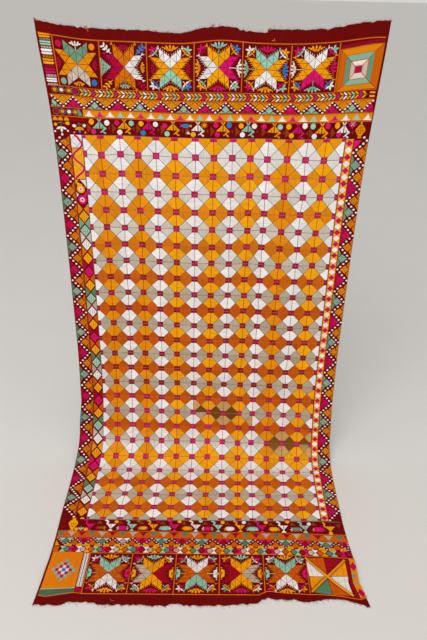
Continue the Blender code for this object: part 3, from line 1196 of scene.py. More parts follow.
def star_square(chart, x, y, arms, sides, corners, eye, stars):
    """An eight-armed star with flowers in the spaces between the arms and in the corners.

    The one with a magenta eye is plain, and the foot's have buds at their sides.
    """
    (wide, high), (edge_across, edge_down), (flowers, nearer) = stars
    plain, at_foot = eye == "magenta", stars is FOOT_STARS
    top, left, right, foot = (floss_of(letter) for letter in arms)
    for side, beside in ((-1, left), (1, right)):
        for rise, upright in ((-1, top), (1, foot)):
            strips = (
                (STAR_ARM, upright, ACROSS, (0, 6.5 * rise), (side, 0)),
                (SIDE_ARM, beside, DOWN, (6.5 * side, 0), (0, rise)),
            )
            for shape, floss, lay, out, away in strips:
                points = [(x + side * px * wide, y + rise * py * high) for px, py in shape]
                # Painted shade: at the foot, arms whose stitches run across get a little, and fringes beside
                # arms that run down get much
                if at_foot and lay == ACROSS:
                    floss = (floss[0], 0.25)
                arm(chart, points, floss, lay)
                if not plain:
                    share = 0.75 if at_foot and lay == DOWN else 0.15
                    fringe(chart, points[1], points[2], out, away, (floss[0], share))
    chart.stitch(x, y, 3.2, 3.2, 0.0, eye, 4)
    notch_down, notch_across = STAR_ARM[1][1] * high, SIDE_ARM[1][0] * wide
    spaces = (
        (0, notch_down, edge_down - 26),
        (-90, notch_across, edge_across - 22),
        (90, notch_across, edge_across - 22 - nearer),
        (180, notch_down, edge_down - 26),
    )
    for letter, (turn, notch, base) in zip(sides, spaces):
        if letter == "L":
            ladder(chart, x, y)
            continue
        kind = 0 if at_foot and abs(turn) == 90 else flowers
        if letter.islower() and kind == 1.0:
            kind, base = 0.8, base - 8
        lotus(chart, x, y, turn, notch, base, floss_of(letter), kind)
    for (side, rise), (flower, leaf) in zip(((-1, -1), (1, -1), (-1, 1), (1, 1)), corners):
        cx, cy = x + side * (edge_across - 25), y + rise * (edge_down - 25)
        if plain:
            # Painted shade: plain corners are spots at half shade
            chart.patch(disc(cx + side * 4, cy + rise, 11, 12), (floss_of(flower)[0], 0.5))
        else:
            corner_flower(chart, cx, cy, side, rise, flower, leaf)


HEAD_LINE = (
    (-594, 38), (-550, 41), (-300, 44), (-100, 47), (40, 45), (200, 40), (370, 37), (440, 40),
    (592, 50),
)
HEAD_DIVIDERS = (-549, -401, -234, -65, 107, 278, 443)

# Striped column at the left of the head: top and foot of the teeth, foot of the bars, floss
HEAD_STRIPES = (
    (38, 38, 53, "gold"), (54, 62, 77, "mint"), (78, 87, 106, "white"), (107, 117, 136, "gold"),
    (137, 147, 165, ("magenta", 0.35)), (166, 178, 193, "white"), (195, 204, 204, "white"),
)

# Frames of the square at the head's right end: left, top, right and foot, then floss
HEAD_FRAMES = (
    ((447, 67, 591, 205), "gold"), ((468, 90, 564, 188), "mint"), ((486, 111, 546, 170), "white"),
    ((502, 129, 527, 151), "magenta"),
)


def mitred_frame(chart, outer, inner, floss):
    """Four bars between two boxes, with painted shade: a little in the bars above and below, more in those
    at the sides.
    """
    for m in range(4):
        n = (m + 1) % 4
        # Painted shade, more at the sides and more again in gold; the cords get painted shade too
        share = (0.35, 0.75)[m % 2] + (0.15 if floss == "gold" else 0.0)
        chart.patch([outer[m], outer[n], inner[n], inner[m]], (floss, share), (ACROSS, DOWN)[m % 2])
        chart.line([outer[m], inner[m]], ("cord", 0.8), 1.6, 3)
    chart.line([*outer, outer[0]], ("cord", 0.5), 3.2, 3)


def head_squares(chart):
    """The row of star squares along the head, with its striped end and its framed end."""
    chart.line(HEAD_LINE, "cord", 3.6)
    for x in HEAD_DIVIDERS:
        chart.line([(x, 44), (x, 206)], "cord", 3.8)
    for top, middle, foot, floss in HEAD_STRIPES:
        if middle > top:
            for k in range(7):
                x = -591 + 36 * (k + 0.5) / 7
                chart.stitch(x, (top + middle) / 2, (middle - top) / 2, 1.2, DOWN, floss)
        if foot > middle:
            half = (foot - middle) / 2
            for y in (middle + 0.5 * half, middle + 1.5 * half):
                chart.line([(-592 + 3 * k, y + 0.8 * (-1) ** k) for k in range(13)], floss, half - 2.0)
    for square, stars in zip(HEAD_SQUARES, HEAD_STARS):
        star_square(chart, *square, stars)
    for k in range(20):
        x = 449 + 7.2 * k
        chart.patch([(x, 65), (x + 3, 53), (x + 8.5, 53), (x + 5.5, 65)], ("magenta", 0.8), DOWN)
    for (outer, floss), (inner, _) in zip(HEAD_FRAMES[:-1], HEAD_FRAMES[1:]):
        mitred_frame(chart, box(*outer), box(*inner), floss)
    core = box(*HEAD_FRAMES[-1][0])
    chart.patch(core, ("magenta", 0.6), DOWN)
    chart.line([*core, core[0]], ("cord", 0.5), 3.0, 3)


# How far the head's rows drift down from their charted place: across, drift; and where they do
HEAD_SAG = (
    (-600, -8), (-510, -8), (-430, -3), (-350, -1), (-260, 0), (-100, 2), (50, 0), (210, 0),
    (290, -4), (370, -5.5), (440, -5), (515, -3.5), (600, -1),
)
HEAD_SAG_ROWS = ((0.2065, 0), (0.2075, 1), (0.300, 1), (0.340, 0))
FOOT_SAG = ((-600, 0), (-250, -1), (0, 2), (200, 2.5), (350, 3.5), (440, 7), (510, 13), (600, 17))
FOOT_SAG_ROWS = ((2.3050, 0), (2.3055, 0.75), (2.380, 1), (2.4145, 1), (2.4155, 0))

# Zigzag of the head: where its points are, and its teeth in turn: floss, shares of painted shade, apex,
# waist
HEAD_PEAKS = (-585, -508, -432, -347, -266, -188, -103, -25, 52, 134, 213, 290, 368, 440, 515, 588)
HEAD_VALLEYS = (-547, -472, -390, -303, -225, -147, -62, 14, 95, 180, 254, 331, 408, 482, 553)
HEAD_TEETH = (("mint", (0.1, 0.3), 254, 0.2), ("magenta", (0.3, 0.4), 253, 0.0))

# Stepped triangles of the head: their floss, and where some of them are across
HEAD_STEPS = "WPWMWPWMWPWMWPMWPWMWPWMWPWMW"
HEAD_STEPS_PLACES = ((0, -455), (6, -226), (12, -7), (24, 456), (27, 579))

# Beads at the left ends of two bands of the head: across, reach, floss, share of painted shade
CHEVRON_BEADS = (
    (-570, 8.5, "gold", 0.3), (-546, 8.5, "white", 0.2), (-520, 8.5, "gold", 0.3),
    (-498, 10.5, "magenta", 0.8),
)
STEP_BEADS = (
    (-578, 8.5, "magenta", 0.8), (-554, 8.5, "gold", 0.3), (-529, 8.5, "white", 0.2),
    (-506, 8.5, "gold", 0.3),
)

# Birds of the head: their floss, and where some of them are across
HEAD_BIRDS = "MGPGWGMGPGW"
HEAD_BIRDS_PLACES = (
    (0, -421), (3, -143.5), (4, -50), (5, 44.5), (6, 138.5), (7, 237), (9, 414), (10, 496.5),
)

# Round spots between the birds: across, down, floss
HEAD_SPOTS = (
    (-450, 325, "G"), (-393, 328, "W"), (-445, 360, "P"), (-356, 327, "P"), (-302, 328, "M"),
    (-347, 362, "W"), (-265, 328, "G"), (-210, 328, "W"), (-258, 362, "B"), (-175, 332, "P"),
    (-167, 362, "M"), (-68, 362, "G"), (17, 325, "P"), (67, 325, "B"), (23, 360, "P"),
    (112, 327, "G"), (162, 327, "W"), (118, 360, "W"), (198, 327, "P"), (258, 327, "M"),
    (290, 325, "G"), (302, 357, "G"), (350, 322, "W"), (380, 324, "M"), (388, 359, "W"),
    (435, 324, "P"), (471, 324, "G"), (480, 355, "P"),
)

# Small ovals round the sprays at the head's left end: across, down, half width, floss
SPRAY_SPOTS = (
    (-588, 339, 7.5, "G"), (-541, 334, 10.0, "G"), (-516, 341, 9.0, "W"), (-478, 339, 7.5, "W"),
    (-593, 364, 4.8, "W"), (-543, 361, 4.8, "W"), (-519, 365, 4.5, "G"), (-476, 364, 4.5, "G"),
)


def head_bird(chart, x, floss):
    """A bird with a cone-shaped body, a crest, a bent leg and a rust tail on each side."""
    chart.patch([(x - 0.6, 321), (x - 0.6, 350), (x - 28, 348)], floss, DOWN)
    chart.patch([(x + 0.6, 321), (x + 25, 348), (x + 0.6, 350)], floss, DOWN)
    for offset, top in ((-11, 339), (0, 334), (10, 339)):
        chart.line([(x + offset, top), (x + offset, 352)], "wine", 2.2, 5)
    for side in (-1, 1):
        chart.line([(x, 323), (x + side * 7, 314)], floss, 4.4)
    chart.line([(x + 24, 346), (x + 9, 358), (x + 22, 368)], floss, 7.0)
    chart.line([(x + 11, 359), (x + 1, 363)], floss, 3.0)
    chart.patch([(x - 48, 326), (x - 48, 370), (x - 29, 348)], "rust")
    chart.patch([(x + 30, 348), (x + 39, 337), (x + 39, 359)], "rust")


def beads(chart, y, table):
    """Round beads, each with a loose line of grey green floss about it."""
    for x, reach, name, share in table:
        bead = disc(x, y, reach, reach * 0.8)
        chart.patch(bead, (name, share))
        chart.ring(bead, 1.38, "sage", 1.6, 0)


def chevrons(chart):
    """Slanting strokes that point to the right, above and below a fine middle line."""
    for k in range(77):
        x = -472 + 13.5 * k
        floss = "gold" if k % 2 == 0 else LETTERS["MPW"[(k // 2) % 3]]
        for edge, middle in ((212.8, 224.2), (237.6, 225.8)):
            chart.patch([(x - 14.5, edge), (x - 4, edge), (x + 8, middle), (x - 2.5, middle)], floss)
    chart.line([(-478, 225), (566, 225)], "sage", 1.2)
    for y in (219, 231):
        chart.patch(box(570, y - 3.6, 591, y + 3.6), "gold")
    beads(chart, 224, CHEVRON_BEADS)


def head_bands(chart):
    """Chevrons, zigzag, stepped triangles and birds, in bands under the star squares."""
    for y in (210, 241):
        chart.line([(-594, y), (592, y)], "cord", 3.4)
    chevrons(chart)
    for k, x in enumerate(HEAD_PEAKS):
        floss, shade_shares, apex, pinch = HEAD_TEETH[k % 2]
        left, right = (max(x - 31, -597), 282), (min(x + 31, 597), 282)
        chart.tooth(left, right, (x, apex), floss, ACROSS, DOWN, shade_shares, pinch)
    for x in HEAD_VALLEYS:
        chart.tooth((x - 37, 242.5), (x + 37, 242.5), (x, 273), "gold", DOWN, ACROSS, (0.25, 0.45))
    path = [(HEAD_PEAKS[0], 246)]
    for peak, valley in zip(HEAD_PEAKS[1:], HEAD_VALLEYS):
        path += [(valley, 279), (peak, 246)]
    chart.dots(path, 12.4, "white", 0.84, 0.76)
    chart.patch(box(-479, 285, 597, 311), ("gold", 0.4))
    for k, letter in enumerate(HEAD_STEPS):
        chart.fill_steps(between(HEAD_STEPS_PLACES, k), 309.5, -5.6, 17, LETTERS[letter])
    beads(chart, 298, STEP_BEADS)
    chart.patch([(-498, 287), (-490, 287), (-479, 310), (-498, 310)], ("mint", 0.8))
    for y in (283.6, 312.6):
        chart.line([(-596, y), (596, y)], "cord", 2.4)
    for k, letter in enumerate(HEAD_BIRDS):
        head_bird(chart, between(HEAD_BIRDS_PLACES, k), LETTERS[letter])
    for x, y, letter in HEAD_SPOTS:
        chart.patch(disc(x, y, 11, 11), LETTERS[letter])
    for x, y, reach, letter in SPRAY_SPOTS:
        chart.patch(disc(x, y, reach, min(reach, 6.5), 8), LETTERS[letter])
    head_band_ends(chart)


# Domes over the sprays at the left end: across, floss, share of painted shade
DOME = ((-10.5, 0), (-9, -8), (0, -13.5), (9, -8), (10.5, 0))
DOMES = (
    (-586, "gold", 0.3), (-566, "gold", 0.3), (-543, "gold", 0.3), (-521, "magenta", 1.1),
    (-500, "magenta", 1.1), (-480, "magenta", 1.1),
)

# A vase built of level bands: top, foot, half width above and below
HEAD_VASE = (
    (314, 323, 4, 4), (323, 334, 6, 16), (334, 343, 16, 20), (343, 352, 20, 14), (352, 361, 14, 6),
    (361, 370, 6, 9),
)


def stacked(chart, x, bands, floss):
    """A shape built of level bands, with dark upright slots in it."""
    for top, foot, above, below in bands:
        band = [(x - above, top), (x + above, top), (x + below, foot), (x - below, foot)]
        chart.patch(band, floss, DOWN, gap=0.4)
    middle = (bands[0][0] + bands[-1][1]) / 2
    for offset, reach in ((-8, 7), (0, 13), (8, 7)):
        chart.line([(x + offset, middle - reach), (x + offset, middle + reach)], "wine", 1.8, 5)


def head_band_ends(chart):
    """The odd fillings at the two ends of the bird band, and the two small figures between birds."""
    for x, name, share in DOMES:
        chart.patch(placed(DOME, x, 327), (name, share))
    chart.line([(-567, 328), (-567, 350)], "sage", 1.6)
    chart.line([(-586, 336), (-567, 332), (-548, 336)], "sage", 1.6)
    chart.petals(-567, 346, 180, 3, 24, 10.5, 128, ("white", 0.15))
    chart.line([(-497, 329), (-497, 350)], "sage", 1.6)
    chart.line([(-514, 340), (-497, 333), (-480, 338)], "sage", 1.6)
    chart.petals(-497, 344, 180, 3, 22, 10.5, 108, ("gold", 0.2))
    chart.patch(disc(-497, 360, 5, 8, 8), "blue", ACROSS, 6)
    chart.patch([(-115, 330), (-106, 322), (-88, 322), (-80, 330), (-88, 338), (-106, 338)], "blue")
    chart.patch(disc(-78, 330, 6, 6, 8), "gold", ACROSS, 2)
    chart.petals(-112, 330, -90, 2, 11, 6, 80, "magenta")
    chart.patch([(-88, 347), (-77, 362), (-99, 362)], "white")
    for k in range(10):
        chart.line(placed([(0, -5), (0, -12)], -26, 326, 36 * k), "gold", 2.2)
    chart.patch(disc(-26, 326, 6, 6, 8), "gold", ACROSS, 2)
    chart.petals(528, 321.5, 45, 4, 17, 13, 270, "magenta")
    for side in (-1, 1):
        chart.line([(521, 321.5 - side * 7), (535, 321.5 + side * 7)], "mint", 2.2, 4)
    stacked(chart, 561, HEAD_VASE, ("gold", 0.35))


# Birds of the foot, and the pods and spots between them: across, floss, scale; across, down, floss
FOOT_BIRDS = "PWMGPWMGPWM"
FOOT_BIRDS_PLACES = ((0, -467), (2, -290), (4, -112), (5, -22), (7, 165), (10, 438))
FOOT_PODS = (
    (-420, "N", 0.66), (-329, "P", 1.0), (-242, "G", 0.8), (-152, "M", 1.0), (-60, "G", 0.95),
    (27, "P", 0.92), (121, "W", 0.98), (215, "M", 1.0), (306, "G", 0.98), (400, "S", 0.95),
    (494, "P", 1.1),
)
FOOT_SPOTS = (
    (-359, 2257, "G"), (-266, 2251, "N"), (-182, 2253, "p"), (-93, 2253, "G"), (-3, 2250, "M"),
    (90, 2256, "G"), (180, 2255, "W"), (273, 2254, "G"), (365, 2250, "G"), (456, 2260, "W"),
    (-522, 2298, "G"), (-482, 2298, "G"),
)

# Zigzag of the foot: where its points are, and the floss of its teeth
FOOT_VALLEYS = (-553, -477, -402, -318, -240, -160, -75, 5, 95, 183, 267, 350, 430, 510, 590)
FOOT_TEETH = "MPMWPMPMPMPMPMP"
FOOT_STEPS = "MWPMWPMWPMWPMWPMWPMPWMPWMPWMP"
FOOT_STEPS_PITCH = 42.45

# Shapes of the foot's bands, about their middles
BOW_PITCH = 34
BOW = ((-14, -15), (14, -15), (2.2, 0), (-2.2, 0))
FISH = ((-12, 0), (-6, -11), (6, -11), (12, 0), (6, 11), (-6, 11))
POD = ((-19, -6), (-11, -13), (11, -13), (19, -5), (19, 5), (10, 13), (-11, 13), (-19, 6))
MOUND = ((-15, 0), (-11.5, -10), (0, -16), (11.5, -10), (15, 0))
FOOT_NECK = ((-30, -26), (-22, -25), (-15, -18), (-17, -12), (-20, -4))
FOOT_VASE = (
    (2240, 2252, 8, 8), (2252, 2268, 12, 21), (2268, 2284, 21, 14), (2284, 2300, 14, 5),
    (2300, 2309, 7, 10),
)


def foot_bird(chart, x, floss):
    """A bird with a curved neck, a body that narrows to its foot, and a rust tail beside it."""
    chart.line(placed(FOOT_NECK, x, 2275), floss, 8.0)
    chart.patch([(x - 21, 2268), (x, 2268), (x, 2297)], floss)
    chart.patch([(x, 2268), (x + 21, 2268), (x, 2297)], floss)
    chart.patch([(x - 12, 2306), (x, 2292), (x + 12, 2306)], floss, ACROSS, 1)
    chart.patch([(x + 38, 2248), (x + 52, 2270), (x + 24, 2270)], ("rust", 0.1), DOWN)


def foot_bands(chart):
    """Birds, stepped triangles, zigzag and fish, in bands over the foot's star squares."""
    for k, letter in enumerate(FOOT_BIRDS):
        foot_bird(chart, between(FOOT_BIRDS_PLACES, k), (LETTERS[letter], 0.1))
    for k, (x, letter, scale) in enumerate(FOOT_PODS):
        shape = [(x + px * scale, 2289 + py * scale * 0.92) for px, py in POD]
        for side in (-1, 1):
            petal = LETTERS["WGMP"[(k + side) % 4]]
            chart.petals(x + side * 14 * scale, 2291, side * 82, 3, 15, 5, 96, (petal, 0.2))
        chart.patch(shape, (LETTERS[letter], 0.0), ACROSS, 2)
        chart.ring(shape, 0.7, "wine", 1.0, 6)
    for x, y, letter in FOOT_SPOTS:
        chart.patch(disc(x, y, 10, 9), floss_of(letter), ACROSS, 2)
    foot_band_ends(chart)
    chart.line([(-490, 2245), (-200, 2247), (200, 2245), (510, 2247), (590, 2252)], "sage", 1.8)
    chart.patch(box(-594, 2308, 600, 2338.5), "gold", DOWN)
    for k, letter in enumerate(FOOT_STEPS):
        x = min(-578 + FOOT_STEPS_PITCH * k, 594)
        chart.fill_steps(x, 2309.5, 6.8, 19.5 if x < 590 else 6, (LETTERS[letter], 1.0))
    for y in (2306.5, 2339.5):
        chart.line([(-594, y), (601, y)], "cord", 2.2)
    for x, letter in zip(FOOT_VALLEYS, FOOT_TEETH):
        left, right = (max(x - 31, -594), 2342), (min(x + 31, 601), 2342)
        chart.tooth(left, right, (x, 2375), LETTERS[letter], DOWN, ACROSS)
    peaks = middles_of(FOOT_VALLEYS)
    for x in peaks:
        chart.patch([(x, 2350), (x + 18, 2373), (x, 2382), (x - 18, 2373)], "gold", DOWN)
        for side in (-1, 1):
            middle = x + side * 21.5
            chart.patch(placed(MOUND, middle, 2386), ("gold", 0.1), ACROSS, 2)
            for offset in (-5, 0, 5):
                slot = [(middle + offset, 2376), (middle + offset * 0.6, 2385)]
                chart.line(slot, ("rust", 0.0), 1.3, 6)
    chart.patch([(-594, 2352), (-572, 2384), (-594, 2384)], ("gold", 0.4))
    path = [(-590, 2344)]
    for valley, peak in zip(FOOT_VALLEYS, peaks + [598]):
        path += [(valley, 2379), (peak, 2344)]
    chart.dots(path, 13.8, ("white", 0.75), 0.78, 0.9)
    fish_band(chart)
    chart.line([(-593, 2416.5), (300, 2418), (460, 2426), (530, 2433), (602, 2439)], "cord", 3.2)


def foot_band_ends(chart):
    """A vase and blocks at the left end of the bird band, and a last bird at its right end."""
    stacked(chart, -540, FOOT_VASE, ("gold", 0.1))
    chart.patch([(-518, 2246), (-513, 2236), (-501, 2236), (-496, 2246)], "gold")
    chart.petals(-503, 2303, 0, 3, 21, 7, 74, "white")
    chart.patch(box(-594, 2242, -571, 2264), ("magenta", 1.35), DOWN)
    chart.patch([(-592, 2276), (-566, 2276), (-576, 2294), (-592, 2294)], ("magenta", 1.25), DOWN)
    chart.line([(514, 2252), (523, 2261), (517, 2270), (526, 2277)], ("gold", 0.1), 7.0)
    chart.patch([(519, 2273), (566, 2273), (540, 2300)], ("gold", 0.1))
    chart.patch([(529, 2307), (540, 2295), (551, 2307)], ("gold", 0.1), ACROSS, 1)
    chart.patch([(566, 2262), (590, 2262), (578, 2288)], ("rust", 0.1), DOWN)


def fish_band(chart):
    """Bows and dark six-sided fish in turn; they swim towards each other from both ends."""
    places = [(-557.6 + BOW_PITCH * k, 16.5, "MPWG"[k % 4]) for k in range(14)]
    places += [(-80 + BOW_PITCH * k, -16.5, "WGMP"[k % 4]) for k in range(20)]
    for x, body, letter in places:
        for rise in (1, -1):
            chart.patch([(x + bx, 2400 + rise * by) for bx, by in BOW], (LETTERS[letter], 0.15))
        chart.patch(placed(FISH, x + body, 2400), (LETTERS[letter], 0.95), DOWN)
    chart.patch(box(-596, 2386, -573, 2414), "gold", DOWN)
    for rise in (1, -1):
        chart.line([(582, 2400 - rise * 9), (596, 2400 + rise * 9)], ("magenta", 0.3), 4.0)


FOOT_DIVIDERS = (-437, -268, -93, 80, 254, 425)
STEP_DIAMOND = ("blue", "white", "magenta", "mint")
STEP_PITCH = 13.3

# The pinwheel at the foot's right end: its middle, its rim, and the floss and lay of each triangle
PINWHEEL_MIDDLE = (494, 2521)
PINWHEEL_RIM = (
    ((422, 2431), "gold", DOWN), ((491, 2434), "magenta", DOWN), ((564, 2445), "gold", ACROSS),
    ((566, 2521), "white", ACROSS), ((560, 2604), "gold", DOWN), ((497, 2601), "mint", DOWN),
    ((432, 2587), "gold", ACROSS), ((429, 2520), "white", ACROSS),
)

# Diamonds of the strip beside the pinwheel: across, down, half width, half height, floss
PINWHEEL_STRIP = (
    (591, 2477, 15, 24, "magenta"), (588, 2519, 10, 14, "mint"), (589, 2551, 7, 9, "mint"),
    (592, 2591, 14, 21, "magenta"),
)

# The green bar and the cord under the gold panel, and the cord along the foot
GREEN_BAR = (
    [(-593, 2586), (-540, 2583), (-540, 2613), (-593, 2611)],
    [(-540, 2583), (-466, 2578), (-466, 2598), (-540, 2613)],
)
PANEL_CORD = ((-593, 2611), (-563, 2616), (-468, 2598), (-438, 2600))
FOOT_CORD = (
    (-438, 2602), (230, 2602), (257, 2588), (276, 2586), (320, 2592), (420, 2599), (449, 2598),
    (500, 2602), (530, 2607), (560, 2614), (578, 2617), (605, 2608),
)


def pinwheel(chart):
    """Eight triangles about a middle, with bright cords on the diagonals and a strip beside them."""
    middle = np.array(PINWHEEL_MIDDLE, float)
    for k, (corner, floss, lay) in enumerate(PINWHEEL_RIM):
        corner, following = vectors(corner, PINWHEEL_RIM[(k + 1) % 8][0])
        # Painted shade: a little on triangles whose stitches run across, and more than full shade on the
        # lines in them
        chart.patch([middle, corner, following], floss if lay == DOWN else (floss, 0.3), lay)
        for share in (0.5, 0.8):
            near, far = middle + share * (corner - middle), middle + share * (following - middle)
            chart.line([near, far], (floss, 1.3), 1.0, 3)
        if k % 2 == 0:
            chart.line([middle, corner], "wine", 13.0, 2)
            chart.line([middle, corner], ("gold", 0.35), 9.5, 8)
            run = (corner - middle) / np.linalg.norm(corner - middle)
            side = np.array((-run[1], run[0]))
            for share in np.arange(0.1, 0.98, 0.07):
                at = middle + share * (corner - middle)
                for turn in (-1, 1):
                    chart.line([at + side * turn * 4, at + side * turn * 10.5], "wine", 2.6, 5)
    chart.patch([(566, 2443), (577, 2444), (577, 2611), (566, 2607)], ("magenta", 1.1), DOWN)
    chart.patch([(579, 2438), (603, 2442), (605, 2606), (579, 2614)], ("gold", 0.6))
    for x, y, wide, high, floss in PINWHEEL_STRIP:
        chart.patch(diamond(x, y, wide, high), (floss, 0.7), ACROSS, 5)


def check_diamond(chart):
    """Small squares that make a diamond, in rings of one floss each."""
    for k in range(-3, 4):
        for m in range(-3, 4):
            ring = abs(k) + abs(m)
            if ring < len(STEP_DIAMOND):
                x, y = -527.5 + STEP_PITCH * k, 2501 + 1.05 * STEP_PITCH * m
                square = box(x - 7.2, y - 7.6, x + 7.2, y + 7.6)
                chart.patch(square, (STEP_DIAMOND[ring], 0.5), ACROSS, 5, gap=0.6)


def foot_squares(chart):
    """The row of star squares along the foot, between a gold panel and a pinwheel."""
    for x in FOOT_DIVIDERS:
        chart.line([(x, 2419), (x, 2601 if x < 250 else 2594)], ("cord", 0.35), 4.0)
    for square in FOOT_SQUARES:
        star_square(chart, *square, FOOT_STARS)
    chart.patch([(-593, 2417), (-465, 2417), (-465, 2577), (-593, 2585)], ("gold", 0.7), DOWN)
    check_diamond(chart)
    for outline in GREEN_BAR:
        chart.patch(outline, ("mint", 1.05), gap=0.2)
    for drop in (9, 17):
        row = [(-591, 2586 + drop), (-540, 2584 + drop), (-467, 2578 + drop * 0.8)]
        chart.line(row, "wine", 2.0, 4)
    chart.line([(-593, 2586), (-466, 2578)], ("white", 0.3), 1.6, 6)
    for left in (-463, -451.5):
        chart.patch(box(left, 2419, left + 11, 2573), ("white", 0.35))
    for x in (-459, -451.5, -444):
        chart.line([(x + 1.2 * (-1) ** k, 2422 + 6 * k) for k in range(26)], "wine", 1.5, 4)
    chart.patch(box(-464, 2575, -440, 2595), ("magenta", 0.8), DOWN)
    pinwheel(chart)
    chart.line(FOOT_CORD, "cord", 3.0)
    chart.line(PANEL_CORD, "cord", 3.0)


def loose_stitches(chart):
    """A few stray stitches of floss on the bare ends."""
    for x, y, turn in ((-440, 6, 0.5), (-434, 12, 1.2), (210, 30, 0.3), (216, 27, 1.0)):
        chart.stitch(x, y, 5.0, 0.9, turn, "gold")
    chart.line([(-324, 2622), (-320, 2632), (-308, 2630)], "sage", 1.4)


# Ravelled threads of the raw ends: share of the threads, colour on the screen
THREAD_COLOURS = (
    (0.66, (122, 16, 20)), (0.16, (168, 96, 84)), (0.12, (150, 165, 130)), (0.06, (205, 110, 30)),
)
LONGEST_THREAD = 0.018
THREAD_ROOT = 0.0015

# Tufts where the cloth was held or torn: across, down
TUFTS = ((-0.597, 0.0), (-0.44, 0.004), (-0.157, 0.012), (0.0, 0.0), (0.197, -0.002), (0.597, 0.0))
TUFT_THREADS = 20

# The worked part of the cloth, down, in millimetres
WORKED_FROM = 45
WORKED_TO = 2605

# How much more the foot is torn than the top, and the deepest tear of both
FOOT_TEAR = 1.7
DEEPEST_TEAR = 0.0065


def raw_end_threads():
    """Loose threads along both raw ends, and small tufts where the cloth was held or torn."""
    cotton = settings()[0]
    chance = np.random.default_rng(31)
    rows = []
    for name, left, right in LENGTHS:
        places, top_tear, foot_tear = torn_ends(name, left, right)
        ends = ((TOP_ENDS[name], 0.0, 1, top_tear), (FOOT_ENDS[name], CLOTH_LENGTH, -1, foot_tear))
        for table, straight, inward, tear in ends:
            count = round((right - left) / cotton.thread_spacing)
            for across in np.linspace(left + 0.001, right - 0.001, count):
                inside = THREAD_ROOT + np.interp(across, places, tear)
                down = straight + between(table, across) + inward * inside
                turn = chance.normal(0, 0.35) + (0 if inward > 0 else math.pi)
                long = cotton.thread_length * chance.lognormal(-0.2, 0.55)
                spin = chance.uniform(-3, 3) if inward > 0 else chance.uniform(-0.25, 0.25)
                rows.append((across, -down, 0.0, turn, min(long, LONGEST_THREAD), spin))
    for across, down in TUFTS:
        for _ in range(TUFT_THREADS):
            turn = chance.normal(0, 0.7)
            long = chance.uniform(0.003, 0.011)
            at, spin = across + chance.normal(0, 0.002), chance.uniform(-3, 3)
            rows.append((at, -down - 0.001, 0.0, turn, long, spin))
    table = np.array(rows)
    shares, levels = zip(*THREAD_COLOURS)
    chosen = chance.choice(len(levels), len(table), p=shares)
    colours = np.array([linear(*level) for level in levels])[chosen]
    values = {"turn": -table[:, 3], "stretch": table[:, 4], "spin": table[:, 5], "floss": opaque(colours)}
    return flat_mesh("raw_ends", table[:, :3], **values)


def back_pattern(across, down):
    """Floss and lay that show through as ticks on the back, and where they do, at places in metres."""
    size = settings()[1]
    gold, white = np.array(size.gold), np.array(size.white)
    x, y = across / MM, down / MM
    column = np.interp(x, COLUMN_PLACES, range(len(COLUMN_PLACES)))
    row = (y - ROW_FIRST) / ROW_PITCH
    upright = abs(column - np.round(column)) < abs(row - np.round(row))
    odd = np.where(upright, np.round(column) % 2, (np.round(row) + 1) % 2).astype(bool)
    in_field = (x > COLUMN_PLACES[0]) & (x < COLUMN_PLACES[-1]) & (y > ROW_FIRST) & (y < FIELD_END)
    colour = np.where((odd | ~in_field)[:, None], gold, white)
    return colour, np.where(upright & in_field, ACROSS, DOWN), (y > WORKED_FROM) & (y < WORKED_TO)


def torn_ends(name, left, right):
    """Places across one length, and how far its top and its foot draw in there where they are torn."""
    cotton = settings()[0]
    across = np.linspace(left, right, math.ceil((right - left) / cotton.face) + 1)
    chance = np.random.default_rng(41 + len(name))
    top, foot = abs(cotton.ravel * chance.standard_normal((2, len(across))))
    return across, np.minimum(top, DEEPEST_TEAR), np.minimum(FOOT_TEAR * foot, DEEPEST_TEAR)


def cotton_sheet(name, left, right):
    """One length of cotton with both faces and closed edges, made flat."""
    face = settings()[0].face
    across, top_tear, foot_tear = torn_ends(name, left, right)
    rows = [0.0]
    for start, end in ((0.0, BEND_FROM), (BEND_FROM, BEND_TO), (BEND_TO, CLOTH_LENGTH)):
        count = math.ceil((end - start) / (face * (BEND_SHARE if start == BEND_FROM else 1.0)))
        rows.extend(start + (end - start) * (k + 1) / count for k in range(count))
    rows = np.array(rows)[:, None]
    down = rows + np.clip(1 - rows / END_REACH, 0, 1) * between(TOP_ENDS[name], across)
    down += np.clip(1 - (CLOTH_LENGTH - rows) / END_REACH, 0, 1) * between(FOOT_ENDS[name], across)
    down[0] += top_tear
    down[-1] -= foot_tear
    across = np.broadcast_to(across, down.shape)
    faces_out = [np.stack([across, -down, np.full(down.shape, h)], -1) for h in (COTTON_FRONT, COTTON_BACK)]
    points = np.concatenate([side.reshape(-1, 3) for side in faces_out])
    index, under = np.arange(len(points)).reshape(2, *down.shape)
    front = grid_faces(index)
    back = grid_faces(under)[:, [0, 3, 2, 1]]
    edges = [
        quads(index[0, :-1], index[0, 1:], under[0, 1:], under[0, :-1]),
        quads(index[-1, 1:], index[-1, :-1], under[-1, :-1], under[-1, 1:]),
        quads(index[1:, 0], index[:-1, 0], under[:-1, 0], under[1:, 0]),
        quads(index[:-1, -1], index[1:, -1], under[1:, -1], under[:-1, -1]),
    ]
    faces = np.concatenate([front, back, *edges])
    centre = points[faces].mean(axis=1)
    colour, lay, worked = back_pattern(centre[:, 0], -centre[:, 1])
    number = np.arange(len(faces))
    behind = (number >= len(front)) & (number < len(front) + len(back))
    mesh = flat_mesh(name, points, faces, floss=opaque(colour), lay=lay, back=behind & worked)
    mesh.shade_smooth()
    mesh.set_sharp_from_angle(angle=math.radians(50))
    return mesh


